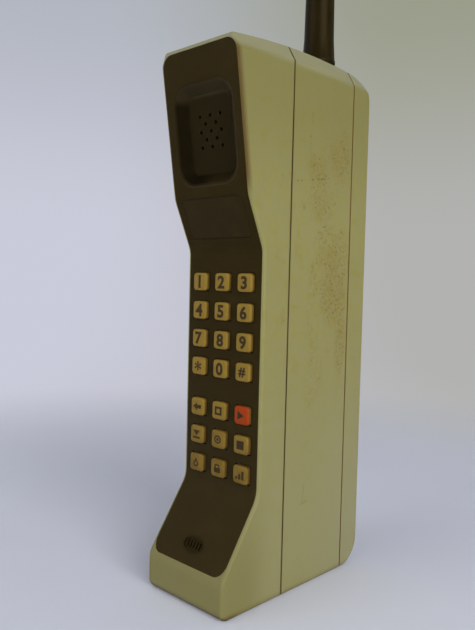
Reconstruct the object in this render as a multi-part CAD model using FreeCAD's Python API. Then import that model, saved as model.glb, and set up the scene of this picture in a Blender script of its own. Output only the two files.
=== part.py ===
"""Handheld cellular telephone of the 1980s: a brick-shaped body with a keypad and a rubber antenna.

Millimetres. X runs across the front, the front faces -Y and Z is up. The origin is the middle of the base.
"""
import FreeCAD, Part
import math
import os
from FreeCAD import Placement, Rotation, Vector

# Overall size
WIDTH = 44.4
DEPTH = 88.9
ANTENNA_TIP_Z = 330.0
HALF_WIDTH = WIDTH / 2
HALF_DEPTH = DEPTH / 2

# Side outline of the body: corners as (y, z, corner radius), going up the front and back down the rear
KEYPAD_Y = -25.0
CHIN_TOP_Z = 44.5
CHIN_FOOT_Z = 15.5
NECK_FOOT_Z = 142.5
EAR_FOOT_Y = -34.0
EAR_FOOT_Z = 163.0
EAR_LEAN = 8.6
NECK_LEAN = math.degrees(math.atan2(KEYPAD_Y - EAR_FOOT_Y, EAR_FOOT_Z - NECK_FOOT_Z))
CHIN_LEAN = -math.degrees(math.atan2(KEYPAD_Y + HALF_DEPTH, CHIN_TOP_Z - CHIN_FOOT_Z))
EAR_TOP_Z = 221.57
EAR_TOP_Y = EAR_FOOT_Y - (EAR_TOP_Z - EAR_FOOT_Z) * math.tan(math.radians(EAR_LEAN))
CROWN_Y = -5.84
CROWN_Z = 225.88
BACK_TOP_Z = 222.8
BACK_RADIUS = 12.0
SIDE_OUTLINE = (
    (-HALF_DEPTH, 0.0, 4.0),
    (-HALF_DEPTH, CHIN_FOOT_Z, 8.0),
    (KEYPAD_Y, CHIN_TOP_Z, 12.0),
    (KEYPAD_Y, NECK_FOOT_Z, 10.0),
    (EAR_FOOT_Y, EAR_FOOT_Z, 12.0),
    (EAR_TOP_Y, EAR_TOP_Z, 1.5),
    (CROWN_Y, CROWN_Z, 400.0),
    (HALF_DEPTH, BACK_TOP_Z, BACK_RADIUS),
    (HALF_DEPTH, 0.0, BACK_RADIUS),
)
EDGE_ROUND = 1.5

# Bevel along both top edges: where it starts on the side face, its arc seen from the side, and its slope
BEVEL_CREST_Y = 3.0
BEVEL_CREST_Z = 218.4
BEVEL_ARC = 290.0
BEVEL_RISE = 1.7
BEVEL_START = 2.0
BEVEL_RUN = 14.0

# Seams
SEAM_FRONT = -10.0
SEAM_BACK = 31.1
SEAM_GROOVE = 0.25
SEAM_DEPTH = 0.7
PACK_GAP = 0.15

# Walls: ROOT is how far posts and ribs reach into the wall they stand on
SIDE_WALL = 2.2
BODY_WALL = 3.0
REAR_WALL = 2.0
BEVEL_WALL = 3.6
ROOT = 0.5

# Face panel
PANEL_THICK = 1.5
PANEL_HALF = 20.7
PANEL_FOOT_Z = 16.5
PANEL_TOP_Z = 219.9
PANEL_FOOT_ROUND = 5.0
PANEL_TOP_ROUND = 5.0
PANEL_PLAY = 0.1

# Keys
KEY_PITCH_X = 12.92
KEY_ROWS_Z = (129.4, 117.4, 105.5, 93.6, 76.2, 64.25, 52.1)
KEY_NAMES = (
    ("key_1", "key_2", "key_3"),
    ("key_4", "key_5", "key_6"),
    ("key_7", "key_8", "key_9"),
    ("key_star", "key_0", "key_hash"),
    ("key_recall", "key_clear", "key_send"),
    ("key_store", "key_function", "key_end"),
    ("key_power", "key_lock", "key_volume"),
)
KEY_WIDTH = 8.0
KEY_HEIGHT = 7.5
KEY_ROUND = 1.2
KEY_PROUD = 1.8
KEY_TRAVEL = 1.0
KEY_PLAY = 0.2
KEY_EDGE = 0.5
FLANGE_LIP = 0.7
FLANGE_THICK = 0.8

# Keypad mat and board, as depths behind the panel's face
DOME_TOP = BODY_WALL + FLANGE_THICK + KEY_TRAVEL + 0.1
MAT_FRONT = DOME_TOP + 1.0
MAT_BACK = MAT_FRONT + 0.8
MAT_MARGIN = 1.0
BOARD_THICK = 1.6
DOME_FOOT = 5.2
DOME_CREST = 3.2
PAD_BOARD_HALF = 18.6
PAD_BOARD_FOOT = 46.5
PAD_BOARD_HEAD = 138.5
PAD_SCREW_X = KEY_PITCH_X / 2
PAD_SCREW_ROWS = (58.2, 84.9, 123.4)
PAD_BOSS = 2.0
PAD_PILOT = 4.0
PAD_SHANK = 0.8
PAD_GRIP = 3.5
PAD_HEAD = (1.7, 1.1)

# Display: the window, and the module behind it as (width, height, front, back) in depths behind the window
WINDOW_HALF = 17.0
WINDOW_FOOT_Z = 147.1
WINDOW_HEAD_Z = 163.2
WINDOW_THICK = 1.1
WINDOW_LEDGE = 1.3
WINDOW_ROUND = 1.6
DIGITS = 10
DIGIT_PITCH = 2.9
DIGIT_BAR = (DIGITS * DIGIT_PITCH + 1.5, 6.0, 4.2, 6.2)
DIGIT_CARRIER = (DIGITS * DIGIT_PITCH + 3.0, 7.5, 6.1, 7.3)
DIGIT_BOARD = (37.0, 12.0, 7.2, 8.4)
LENS_FOOT = (DIGIT_PITCH - 0.4, 4.4, 0)
LENS_CREST = (DIGIT_PITCH - 1.4, 3.0, 0)
LENS_TOP = 3.5
REST_SIZE = (3.0, 8.0)
REST_X = 17.6

# Earpiece: the mouth of the dish is a wide flat bevel, the wall below it steeper
EAR_CENTRE_Z = 187.6
EAR_WIDTH = 33.8
EAR_HEIGHT = 40.5
EAR_ROUND = 8.5
EAR_MOUTH = 1.3
EAR_MOUTH_DEPTH = 0.5
EAR_DEPTH = 3.8
EAR_SLOPE = 3.4
EAR_WALL = 1.5
SOUND_HOLE = 0.7
SOUND_ROWS = (3, 2, 3, 2, 3)
SOUND_PITCH_X = 5.75
SOUND_PITCH_Z = 3.05
SOUND_RISE = 1.1
RING_RADII = (13.2, 10.4)
RING_THICK = 1.0
SPEAKER_RADIUS = 14.0
SPEAKER_THICK = 3.0
MAGNET_RADIUS = 9.5
MAGNET_THICK = 4.0
TERMINAL_SIZE = (8.0, 2.0)
TERMINAL_DROP = 11.4

# Microphone
MIC_CENTRE_Z = 23.3
MIC_RECESS = (10.5, 4.4)
MIC_RECESS_DEPTH = 0.6
MIC_ROUND = 2.0
MIC_SLOTS = 5
MIC_SLOT = (0.8, 2.8)
MIC_SLOT_PITCH = 1.7
MIC_RADIUS = 4.8
MIC_BACK = 5.6
MIC_LENGTH = 5.0
MIC_PIN = 0.35
MIC_PIN_X = 1.3
MIC_PIN_BACK = 9.1
BOOT_RADIUS = 6.6
BOOT_LENGTH = 6.5
SPOUT_RADIUS = 5.3
SPOUT_BORE = 3.6
SPOUT_LENGTH = 1.5
COLLAR_RADIUS = 8.2
COLLAR_LENGTH = 4.5

# Housing screws and boards
SCREW_X = 17.2
SCREW_ROWS = (9.0, 202.0)
SCREW_SHANK = 1.25
SCREW_HEAD = (2.4, 1.8)
SCREW_SINK = 20.0
SCREW_LENGTH = 33.0
SCREW_PILOT = 14.0
SCREW_PLAY = 0.2
BOSS_RADIUS = 3.2
BOSS_LENGTH = 22.0
LOGIC_Y = -7.6
RADIO_Y = 8.0
BOARD_HALF = 19.0
BOARD_FOOT = 6.0
BOARD_HEAD = 197.0
BOARD_CLEAR = 0.6
POST_X = 15.5
POST_ROWS = (18.0, 152.0)
POST_RADIUS = 2.4
POST_PILOT = (0.9, 8.0)
POST_HOLE = 1.3

# Parts on the boards, chips as (x, z, width, height)
LOGIC_CHIPS = (
    (0, 150, 15, 26), (-10, 118, 9, 20), (9, 118, 9, 20), (0, 96, 22, 8), (-9, 50, 8, 14), (9, 50, 10, 10),
)
RADIO_CHIPS = ((-6, 120, 12, 16), (8, 90, 10, 24), (-8, 60, 14, 10), (5, 40, 8, 8))
LOGIC_CHIP_HEIGHT = 2.0
RADIO_CHIP_HEIGHT = 2.4
CHIP_SEAT = 0.05
CAN_HALF = 17.2
CAN_HEIGHT = 9.0
CAN_SKIN = 0.6
CAN_FENCES = (24.0, 62.0, 104.0, 146.0)
VENT_HALF = 11.0
VENT_HEIGHT = 2.0
VENT_FOOT_Z = 36.0
VENT_PITCH = 19.0
VENTS = 6
FILTER_HALF = 15.0
FILTER_DEPTH = 11.0
FILTER_Z = (160.0, 184.0)
RESONATORS = 6
RESONATOR_PITCH = 4.8
RESONATOR_RADIUS = 1.3
RESONATOR_FOOT_Z = 170.0
RINGER_Z = 24.0
RINGER_RADIUS = 10.0
RINGER_THICK = 5.0
RINGER_HOLE = (1.2, 2.0)
CABLE_HALF = 7.0
CABLE_THICK = 0.4
CABLE_FOOT_Z = 66.0
CABLE_BEND_Z = 74.0

# Antenna
ANTENNA_X = 12.0
ANTENNA_Y = 18.0
ANTENNA_SEAT_Z = 224.6
STUD_RADIUS = 3.0
STUD_FOOT_Z = 214.5
THREAD_PLAY = 0.05
CORE_FLANGE = (5.0, 2.5)
ROD_RADIUS = 1.4
ROD_END = 8.0
SHEATH_FOOT = 7.3
SHEATH_COLLAR = (7.05, 3.0)
SHEATH_NECK = (6.45, 11.0)
SHEATH_TIP = 5.2
SHEATH_TIP_ROUND = 4.6
BUSH_RADIUS = 4.5
BUSH_Z = (211.0, 223.6)
NUT_SIZE = 11.0
NUT_CUT = 3.0
NUT_Z = (209.0, 212.0)
ANTENNA_BOSS = 6.2
ANTENNA_BOSS_Z = (212.0, 223.0)

# Battery pack
PACK_WALL = 1.6
PACK_BEVEL_WALL = 2.6
COVER_THICK = 1.4
COVER_INSET = 1.2
COVER_PLAY = 0.1
CELL_RADIUS = 5.0
CELL_LENGTH = 43.5
CELL_PLAY = 0.05
CELL_COLUMNS = (-11.5, 0.0, 11.5)
CELL_ROWS = 4
CELL_FIRST_Z = 20.0
CELL_PITCH_Z = 44.5
TAB_X = 13.0
TAB_SIZE = (7.0, 2.4)
TAB_Z = 14.0
TAB_PLAY = 0.3
TAB_TIP = 0.2
CONTACT_COLUMNS = (-8.0, 0.0, 8.0)
CONTACT_Z = 60.0
CONTACT_HALF = (2.0, 4.0)
CONTACT_THICK = 0.6
CONTACT_PLAY = 0.05
PIN_RADIUS = 1.6
PIN_COLLAR = (2.4, 2.0)
PIN_TIP = 0.09

# Battery latch: a button on the roof whose tongue reaches into the pack
LATCH_X = -8.0
LATCH_TRAVEL = 1.5
LATCH_Y = (24.5, 28.5)
LATCH_Z = (220.5, 225.0)
LATCH_HALF = 5.0
LATCH_ROUND = 0.8
LATCH_PLAY = 0.2
RIDGES = 3
RIDGE_HALF = 3.5
RIDGE_Y = (25.4, 25.8)
RIDGE_Z = (224.8, 225.3)
STEM_HALF = 3.0
STEM_Y = (25.5, 28.5)
STEM_FOOT_Z = 214.0
LATCH_FLANGE_HALF = 6.5
LATCH_FLANGE_Y = (23.6, 28.5)
LATCH_FLANGE_Z = (219.0, 220.5)
TONGUE_Y = (28.0, 33.6)
TONGUE_THICK = 1.6
TONGUE_LIP = (0.6, 1.0)
TONGUE_PLAY = 0.4
SHELF_HALF = 4.0
SHELF_FRONT_Y = 23.5
SHELF_Z = (204.0, 206.0)
SPRING_THICK = 0.35
SPRING_HALF = 2.5
SPRING_Y = (25.8, 28.5)
SPRING_BELLY = 2.0

# Working values: cutters run OVER past the faces they open, and round hidden parts are built with flat sides
OVER = 1.0
TOUCH = 0.1
NEAR = 1e-6
FAR = 400.0
SIDES = 8
SMALL_SIDES = 6
SMALL_RADIUS = 1.8
CAPSULE_SIDES = 12
X_AXIS = Vector(1, 0, 0)
Y_AXIS = Vector(0, 1, 0)
Z_AXIS = Vector(0, 0, 1)


def in_side_plane(x):
    """Map an outline's (y, z) into the plane at x."""
    return lambda a, b: Vector(x, a, b)


def in_front_plane(y):
    """Map an outline's (x, z) into the plane at y."""
    return lambda a, b: Vector(a, y, b)


def flat(a, b):
    """Map an outline's two values onto the local XY plane."""
    return Vector(a, b, 0)


def rounded_outline(corners, place):
    """A closed outline through corners given as (a, b, radius), each rounded by a tangent arc."""
    count = len(corners)
    stretches = []
    for index, (a, b, radius) in enumerate(corners):
        here = place(a, b)
        before = place(*corners[index - 1][:2])
        after = place(*corners[(index + 1) % count][:2])
        inward = (here - before).normalize()
        outward = (after - here).normalize()
        turn = inward.getAngle(outward)
        if radius == 0:
            stretches.append((here, None, here))
            continue
        reach = radius * math.tan(turn / 2)
        bisector = (outward - inward).normalize()
        middle = here + bisector * (radius / math.cos(turn / 2) - radius)
        stretches.append((here - inward * reach, middle, here + outward * reach))
    edges = []
    for index, (start, middle, end) in enumerate(stretches):
        if middle is not None:
            edges.append(Part.Arc(start, middle, end).toShape())
        following = stretches[(index + 1) % count][0]
        if end.distanceToPoint(following) > NEAR:
            edges.append(Part.makeLine(end, following))
    return Part.Wire(edges)


def rectangle(width, height, radius):
    """Corners of a rectangle about the origin."""
    half_w = width / 2
    half_h = height / 2
    return (
        (-half_w, -half_h, radius),
        (half_w, -half_h, radius),
        (half_w, half_h, radius),
        (-half_w, half_h, radius),
    )


def slab(width, height, radius, low, high):
    """A rounded plate in local axes, between two heights on local Z."""
    face = Part.Face(rounded_outline(rectangle(width, height, radius), flat))
    plate = face.extrude(Vector(0, 0, high - low))
    plate.translate(Vector(0, 0, low))
    return plate


def bevelled_slab(width, height, cut, low, high):
    """A plate in local axes whose corners are rounded off by two flats each."""
    half_w = width / 2
    half_h = height / 2
    near = cut * (1 - math.sin(math.pi / 4))
    quarter = ((half_w, half_h - cut), (half_w - near, half_h - near), (half_w - cut, half_h))
    corners = []
    for turn_x, turn_y in ((1, 1), (-1, 1), (-1, -1), (1, -1)):
        run = quarter if turn_x == turn_y else quarter[::-1]
        corners += [Vector(turn_x * x, turn_y * y, low) for x, y in run]
    return Part.Face(Part.makePolygon(corners + [corners[0]])).extrude(Vector(0, 0, high - low))


def tapered(size_low, size_high, low, high):
    """A loft between two rounded rectangles, each given as (width, height, radius)."""
    wires = []
    for size, level in ((size_low, low), (size_high, high)):
        wire = rounded_outline(rectangle(*size), flat)
        wire.translate(Vector(0, 0, level))
        wires.append(wire)
    return Part.makeLoft(wires, True, True)


def box(x, y, z):
    """A block between three pairs of limits."""
    size = (x[1] - x[0], y[1] - y[0], z[1] - z[0])
    return Part.makeBox(*size, Vector(x[0], y[0], z[0]))


def round_post(radius, start, end):
    """A round post between two points."""
    return Part.makeCylinder(radius, (end - start).Length, start, end - start)


def flat_post(radius, start, end, sides=0):
    """A hidden post or hole with flat sides between two points; the radius is the circle inside it."""
    sides = sides or (SIDES if radius > SMALL_RADIUS else SMALL_SIDES)
    along = end - start
    across = X_AXIS if abs(along.x) < NEAR else Z_AXIS
    step = 360.0 / sides
    spoke = across * (radius / math.cos(math.radians(step / 2)))
    corners = [start + Rotation(along, step * (index + 0.5)).multVec(spoke) for index in range(sides)]
    return Part.Face(Part.makePolygon(corners + [corners[0]])).extrude(along)


def local_post(radius, low, high, sides=0):
    """A post with flat sides on the local Z axis."""
    return flat_post(radius, Vector(0, 0, low), Vector(0, 0, high), sides)


def placed(shape, placement):
    """A copy of the shape carried into the body's axes."""
    copy = shape.copy()
    copy.Placement = placement.multiply(copy.Placement)
    return copy


def shifted(x, y):
    """A shift in the plane of a local frame."""
    return Placement(Vector(x, y, 0), Rotation())


def copies(shape, spots):
    """The same solid at several places."""
    return Part.makeCompound([placed(shape, Placement(Vector(*spot), Rotation())) for spot in spots])


def fused(shapes):
    """One solid from several that touch."""
    return shapes[0].fuse(list(shapes[1:])).removeSplitter()


def keep(name, shape):
    """Write one sub-part."""
    solids = shape.Solids
    if not solids or not all(solid.isValid() for solid in solids):
        raise ValueError(name + " is not a valid solid")
    shape.exportStep(os.path.join("parts", name + ".step"))
    print(name, len(solids), round(sum(solid.Volume for solid in solids), 1))


def front_frame(x, y, z, lean):
    """Local axes on the front: X across, Y up the face, Z out of it. A positive lean tips the top forward."""
    return Placement(Vector(x, y, z), Rotation(X_AXIS, 90 + lean))


def ear_frame():
    """Local axes in the middle of the earpiece."""
    y = EAR_FOOT_Y - (EAR_CENTRE_Z - EAR_FOOT_Z) * math.tan(math.radians(EAR_LEAN))
    return front_frame(0, y, EAR_CENTRE_Z, EAR_LEAN)


def neck_frame():
    """Local axes in the middle of the display."""
    z = (WINDOW_FOOT_Z + WINDOW_HEAD_Z) / 2
    y = KEYPAD_Y - (z - NECK_FOOT_Z) * math.tan(math.radians(NECK_LEAN))
    return front_frame(0, y, z, NECK_LEAN)


def mic_frame():
    """Local axes in the middle of the microphone opening."""
    y = KEYPAD_Y - (CHIN_TOP_Z - MIC_CENTRE_Z) * math.tan(math.radians(-CHIN_LEAN))
    return front_frame(0, y, MIC_CENTRE_Z, CHIN_LEAN)


def pad_frame():
    """Local axes in the middle of the keypad board."""
    return front_frame(0, KEYPAD_Y, (PAD_BOARD_FOOT + PAD_BOARD_HEAD) / 2, 0)


def key_spots():
    """Name and place of every key."""
    for names, z in zip(KEY_NAMES, KEY_ROWS_Z):
        for column, name in enumerate(names):
            yield name, (column - 1) * KEY_PITCH_X, z


def mirrored_spots(x, rows):
    """The same rows on both sides of the middle."""
    return [(side * x, z) for side in (-1, 1) for z in rows]


def side_face(inset):
    """The body's side outline as a face, moved inward by an inset."""
    face = Part.Face(rounded_outline(SIDE_OUTLINE, in_side_plane(0)))
    if inset:
        face = Part.Face(face.makeOffset2D(-inset, 0, False).OuterWire)
    return face


def side_prism(inset, half_width):
    """The side outline, inset, across a width."""
    prism = side_face(inset).extrude(Vector(2 * half_width, 0, 0))
    prism.translate(Vector(-half_width, 0, 0))
    return prism


def bevel_tools(drop):
    """What the two long top bevels take away, lowered by a drop."""
    fall = DEPTH ** 2 / (2 * BEVEL_ARC)
    crest = BEVEL_CREST_Z - BEVEL_RISE * BEVEL_START - drop
    start_x = HALF_WIDTH + BEVEL_START
    ends = [Vector(start_x, BEVEL_CREST_Y + side * DEPTH, crest - fall) for side in (-1, 1)]
    top = crest + 2 * BEVEL_RISE * BEVEL_RUN
    arc = Part.Arc(ends[0], Vector(start_x, BEVEL_CREST_Y, crest), ends[1]).toShape()
    lids = [Vector(end.x, end.y, top) for end in ends]
    lines = [Part.makeLine(*pair) for pair in ((ends[1], lids[1]), (lids[1], lids[0]), (lids[0], ends[0]))]
    right = Part.Face(Part.Wire([arc] + lines)).extrude(Vector(-BEVEL_RUN, 0, BEVEL_RISE * BEVEL_RUN))
    return [right, right.mirror(Vector(0, 0, 0), X_AXIS)]


def make_body():
    """The whole closed outer form, before it is split into housings and battery pack."""
    prism = side_prism(0, HALF_WIDTH)
    rims = [edge for edge in prism.Edges if abs(abs(edge.CenterOfMass.x) - HALF_WIDTH) < NEAR]
    return prism.makeFillet(EDGE_ROUND, rims).cut(bevel_tools(0))


def between(shape, low_y, high_y):
    """The stretch of a shape between two planes across the depth."""
    return shape.common(box((-FAR, FAR), (low_y, high_y), (-FAR, FAR)))


def section(shape, y, inset):
    """The body's outline in a plane at y, moved inward, as a face."""
    roof = shape.slice(Y_AXIS, y)[0].BoundBox.ZMax - inset
    foot = BEVEL_CREST_Z - (y - BEVEL_CREST_Y) ** 2 / (2 * BEVEL_ARC)
    sunk = inset * math.hypot(1, BEVEL_RISE)
    side = HALF_WIDTH - inset
    bevel_foot = foot + BEVEL_RISE * inset - sunk
    bevel_head = HALF_WIDTH - (roof - foot + sunk) / BEVEL_RISE
    corners = (
        (-side, inset, EDGE_ROUND - inset),
        (side, inset, EDGE_ROUND - inset),
        (side, bevel_foot, 0),
        (bevel_head, roof, 0),
        (-bevel_head, roof, 0),
        (-side, bevel_foot, 0),
    )
    return Part.Face(rounded_outline(corners, in_front_plane(y)))


def seam_groove(body, y, low_y, high_y):
    """The narrow channel that shows as a dark line where two housings meet."""
    core = section(body, y, SEAM_DEPTH).extrude(Vector(0, high_y - low_y + 2 * OVER, 0))
    core.translate(Vector(0, low_y - OVER - y, 0))
    return box((-FAR, FAR), (low_y, high_y), (-FAR, FAR)).cut(core)


def cavity(reach, low_y, high_y):
    """The hollow of a housing, grown by a reach into its walls."""
    hollow = side_prism(BODY_WALL - reach, HALF_WIDTH - SIDE_WALL + reach)
    return between(hollow.cut(bevel_tools(BEVEL_WALL - reach)), low_y, high_y)


def front_band(depth_out, depth_in):
    """The skin of the body between two depths, across the full width."""
    outer = side_prism(depth_out, HALF_WIDTH + OVER)
    inner = side_prism(depth_in, HALF_WIDTH + 2 * OVER)
    return between(outer.cut(inner), -FAR, SEAM_FRONT - BODY_WALL)


def front_prism(half_width, foot_z, head_z, foot_round, head_round):
    """A rounded outline seen from the front, driven back through the front wall."""
    corners = (
        (-half_width, foot_z, foot_round),
        (half_width, foot_z, foot_round),
        (half_width, head_z, head_round),
        (-half_width, head_z, head_round),
    )
    face = Part.Face(rounded_outline(corners, in_front_plane(-HALF_DEPTH - OVER)))
    return face.extrude(Vector(0, HALF_DEPTH + SEAM_FRONT, 0))


def panel_prism(play):
    """The face panel's outline, grown by a play."""
    return front_prism(
        PANEL_HALF + play, PANEL_FOOT_Z - play, PANEL_TOP_Z + play, PANEL_FOOT_ROUND, PANEL_TOP_ROUND
    )


def window_prism(grow):
    """The display window's outline, grown or shrunk."""
    return front_prism(
        WINDOW_HALF + grow, WINDOW_FOOT_Z - grow, WINDOW_HEAD_Z + grow, WINDOW_ROUND, WINDOW_ROUND
    )


def key_openings():
    """Passages for the keys through the panel and the wall behind it."""
    passage = slab(KEY_WIDTH + 2 * KEY_PLAY, KEY_HEIGHT + 2 * KEY_PLAY, 0, -BODY_WALL - OVER, OVER)
    return [placed(passage, front_frame(x, KEYPAD_Y, z, 0)) for _, x, z in key_spots()]


def ear_size(inset):
    """The earpiece's outline, moved inward or outward."""
    return (EAR_WIDTH - 2 * inset, EAR_HEIGHT - 2 * inset, max(EAR_ROUND - inset, 1.0))


def ear_hollow():
    """The dish in front of the earpiece: a flat bevel round its mouth, then the wall and the floor."""
    wall = tapered(ear_size(EAR_MOUTH + EAR_SLOPE), ear_size(EAR_MOUTH), -EAR_DEPTH, -EAR_MOUTH_DEPTH)
    mouth = tapered(ear_size(EAR_MOUTH), ear_size(0), -EAR_MOUTH_DEPTH, 0)
    return wall.fuse([mouth, slab(*ear_size(0), 0, OVER)])


def ear_cup(grow):
    """The outside of the dish, behind the panel's face."""
    floor = ear_size(EAR_MOUTH + EAR_SLOPE - grow)
    return tapered(floor, ear_size(-grow), -EAR_DEPTH - grow, 0)


def posts_along_y(radius, spots, low_y, high_y):
    """Posts or holes with flat sides along Y at several (x, z)."""
    return [flat_post(radius, Vector(x, low_y, z), Vector(x, high_y, z)) for x, z in spots]


def latch_block(half_width, y, z):
    """A block about the latch's middle."""
    return box((LATCH_X - half_width, LATCH_X + half_width), y, z)


def tongue_slot(grow, low_y, high_y):
    """Room for the latch tongue through a wall, with its travel."""
    foot = STEM_FOOT_Z - LATCH_TRAVEL - grow
    head = STEM_FOOT_Z + TONGUE_THICK + TONGUE_LIP[1] + grow
    return latch_block(STEM_HALF + grow, (low_y, high_y), (foot, head))


def tab_block(side, grow, low_y, high_y):
    """A locating tab at the foot of the battery pack, or the slot for it."""
    half_w = TAB_SIZE[0] / 2 + grow
    half_h = TAB_SIZE[1] / 2 + grow
    x = side * TAB_X
    return box((x - half_w, x + half_w), (low_y, high_y), (TAB_Z - half_h, TAB_Z + half_h))


def contact_plate(x, grow, low_y):
    """One contact strip of the pack, or its seat."""
    half_w = CONTACT_HALF[0] + grow
    half_h = CONTACT_HALF[1] + grow
    high_y = SEAM_BACK + PACK_GAP + CONTACT_THICK
    return box((x - half_w, x + half_w), (low_y, high_y), (CONTACT_Z - half_h, CONTACT_Z + half_h))


def cover_plate(body, low_y, high_y, play):
    """The battery cover's plate, or its seat."""
    plate = section(body, SEAM_BACK, COVER_INSET + play).extrude(Vector(0, high_y - low_y, 0))
    plate.translate(Vector(0, low_y - SEAM_BACK, 0))
    return plate


def make_front_housing(body):
    """Beige shell with nose, chin, waist and earpiece face, open at the back."""
    shell = between(body, -FAR, SEAM_FRONT).cut(cavity(0, -FAR, SEAM_FRONT + OVER))
    screws = mirrored_spots(SCREW_X, SCREW_ROWS)
    pad_spots = mirrored_spots(PAD_SCREW_X, PAD_SCREW_ROWS)
    bosses = posts_along_y(BOSS_RADIUS, screws, SEAM_FRONT - BOSS_LENGTH, SEAM_FRONT)
    bosses += posts_along_y(PAD_BOSS, pad_spots, KEYPAD_Y + BODY_WALL - ROOT, KEYPAD_Y + MAT_BACK)
    reach = cavity(ROOT, -FAR, SEAM_FRONT)
    added = [boss.common(reach) for boss in bosses]
    collar = local_post(COLLAR_RADIUS, -BODY_WALL - COLLAR_LENGTH, -BODY_WALL + ROOT)
    collar = collar.cut(local_post(BOOT_RADIUS, -BODY_WALL - COLLAR_LENGTH - OVER, -BODY_WALL + ROOT + OVER))
    added.append(placed(collar, mic_frame()))
    rest = slab(*REST_SIZE, 0, -DIGIT_BOARD[2], -BODY_WALL + ROOT)
    added += [placed(rest, neck_frame().multiply(shifted(side * REST_X, 0))) for side in (-1, 1)]
    shell = fused([shell] + added)
    cutters = [front_band(-OVER, PANEL_THICK).common(panel_prism(PANEL_PLAY))]
    cutters += key_openings()
    cutters.append(placed(ear_cup(EAR_WALL + PANEL_PLAY), ear_frame()))
    cutters.append(placed(local_post(SPOUT_RADIUS + PANEL_PLAY, -BODY_WALL - OVER, OVER), mic_frame()))
    cutters.append(window_prism(-WINDOW_LEDGE).common(front_band(0, BODY_WALL + OVER)))
    cutters.append(seam_groove(body, SEAM_FRONT, SEAM_FRONT - SEAM_GROOVE, SEAM_FRONT + OVER))
    cutters += posts_along_y(SCREW_SHANK, screws, SEAM_FRONT - SCREW_PILOT, SEAM_FRONT + OVER)
    pad_end = KEYPAD_Y + MAT_BACK
    cutters += posts_along_y(PAD_SHANK, pad_spots, pad_end - PAD_PILOT, pad_end + OVER)
    return shell.cut(cutters)


def make_rear_housing(body):
    """Beige middle shell: carries the boards, the antenna socket, the latch and the battery contacts."""
    inner_back = SEAM_BACK - REAR_WALL
    shell = between(body, SEAM_FRONT, SEAM_BACK).cut(cavity(0, SEAM_FRONT - OVER, inner_back))
    reach = cavity(ROOT, SEAM_FRONT, inner_back + ROOT)
    screws = mirrored_spots(SCREW_X, SCREW_ROWS)
    posts = mirrored_spots(POST_X, POST_ROWS)
    board_back = RADIO_Y + BOARD_THICK
    added = posts_along_y(BOSS_RADIUS, screws, SEAM_FRONT, inner_back + ROOT)
    added += posts_along_y(POST_RADIUS, posts, board_back, inner_back + ROOT)
    added.append(latch_block(SHELF_HALF, (SHELF_FRONT_Y, inner_back + ROOT), SHELF_Z))
    antenna_foot, antenna_head = [Vector(ANTENNA_X, ANTENNA_Y, z) for z in ANTENNA_BOSS_Z]
    added.append(flat_post(ANTENNA_BOSS, antenna_foot, antenna_head))
    shell = fused([shell] + [piece.common(reach) for piece in added])
    button_y = (LATCH_Y[0] - LATCH_PLAY, LATCH_Y[1] + LATCH_PLAY)
    cutters = [
        seam_groove(body, SEAM_FRONT, SEAM_FRONT - OVER, SEAM_FRONT + SEAM_GROOVE),
        seam_groove(body, SEAM_BACK, SEAM_BACK - SEAM_GROOVE, SEAM_BACK + OVER),
        flat_post(BUSH_RADIUS, antenna_foot - Z_AXIS * OVER, antenna_head + Z_AXIS * BODY_WALL),
        latch_block(LATCH_HALF + LATCH_PLAY, button_y, (LATCH_Z[0] - ROOT, LATCH_Z[1] + OVER)),
        tongue_slot(TONGUE_PLAY, inner_back - OVER, SEAM_BACK + OVER),
    ]
    cutters += posts_along_y(SCREW_SHANK + SCREW_PLAY, screws, SEAM_FRONT - OVER, SEAM_BACK + OVER)
    cutters += posts_along_y(SCREW_HEAD[0] + SCREW_PLAY, screws, SEAM_BACK - SCREW_SINK, SEAM_BACK + OVER)
    cutters += posts_along_y(POST_PILOT[0], posts, board_back - OVER, board_back + POST_PILOT[1])
    cutters += [tab_block(side, TAB_PLAY, inner_back - OVER, SEAM_BACK + OVER) for side in (-1, 1)]
    pins = [(x, CONTACT_Z) for x in CONTACT_COLUMNS]
    cutters += posts_along_y(PIN_RADIUS, pins, inner_back - OVER, SEAM_BACK + OVER)
    return shell.cut(cutters)


def make_face_panel():
    """Dark inlay with the dished earpiece, key passages, window seat and microphone slots."""
    panel = front_band(0, PANEL_THICK).common(panel_prism(0))
    panel = panel.fuse(placed(ear_cup(EAR_WALL), ear_frame()))
    cutters = [placed(ear_hollow(), ear_frame())]
    hole = local_post(SOUND_HOLE, -EAR_DEPTH - EAR_WALL - OVER, -OVER)
    for row, count in enumerate(SOUND_ROWS):
        for column in range(count):
            x = (column - (count - 1) / 2) * SOUND_PITCH_X
            y = (row - (len(SOUND_ROWS) - 1) / 2) * SOUND_PITCH_Z + SOUND_RISE
            cutters.append(placed(hole, ear_frame().multiply(shifted(x, y))))
    recess = bevelled_slab(*MIC_RECESS, MIC_ROUND, -MIC_RECESS_DEPTH, OVER)
    cutters.append(placed(recess, mic_frame()))
    slot = slab(*MIC_SLOT, 0, -PANEL_THICK - OVER, OVER)
    for index in range(MIC_SLOTS):
        x = (index - (MIC_SLOTS - 1) / 2) * MIC_SLOT_PITCH
        cutters.append(placed(slot, mic_frame().multiply(shifted(x, 0))))
    cutters.append(window_prism(PANEL_PLAY / 2).common(front_band(-OVER, WINDOW_THICK)))
    cutters.append(window_prism(-WINDOW_LEDGE).common(front_band(-OVER, PANEL_THICK + OVER)))
    return panel.cut(cutters + key_openings())


def make_window():
    """Smoked flush window in the slope under the earpiece."""
    return window_prism(0).common(front_band(0, WINDOW_THICK))


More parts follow.
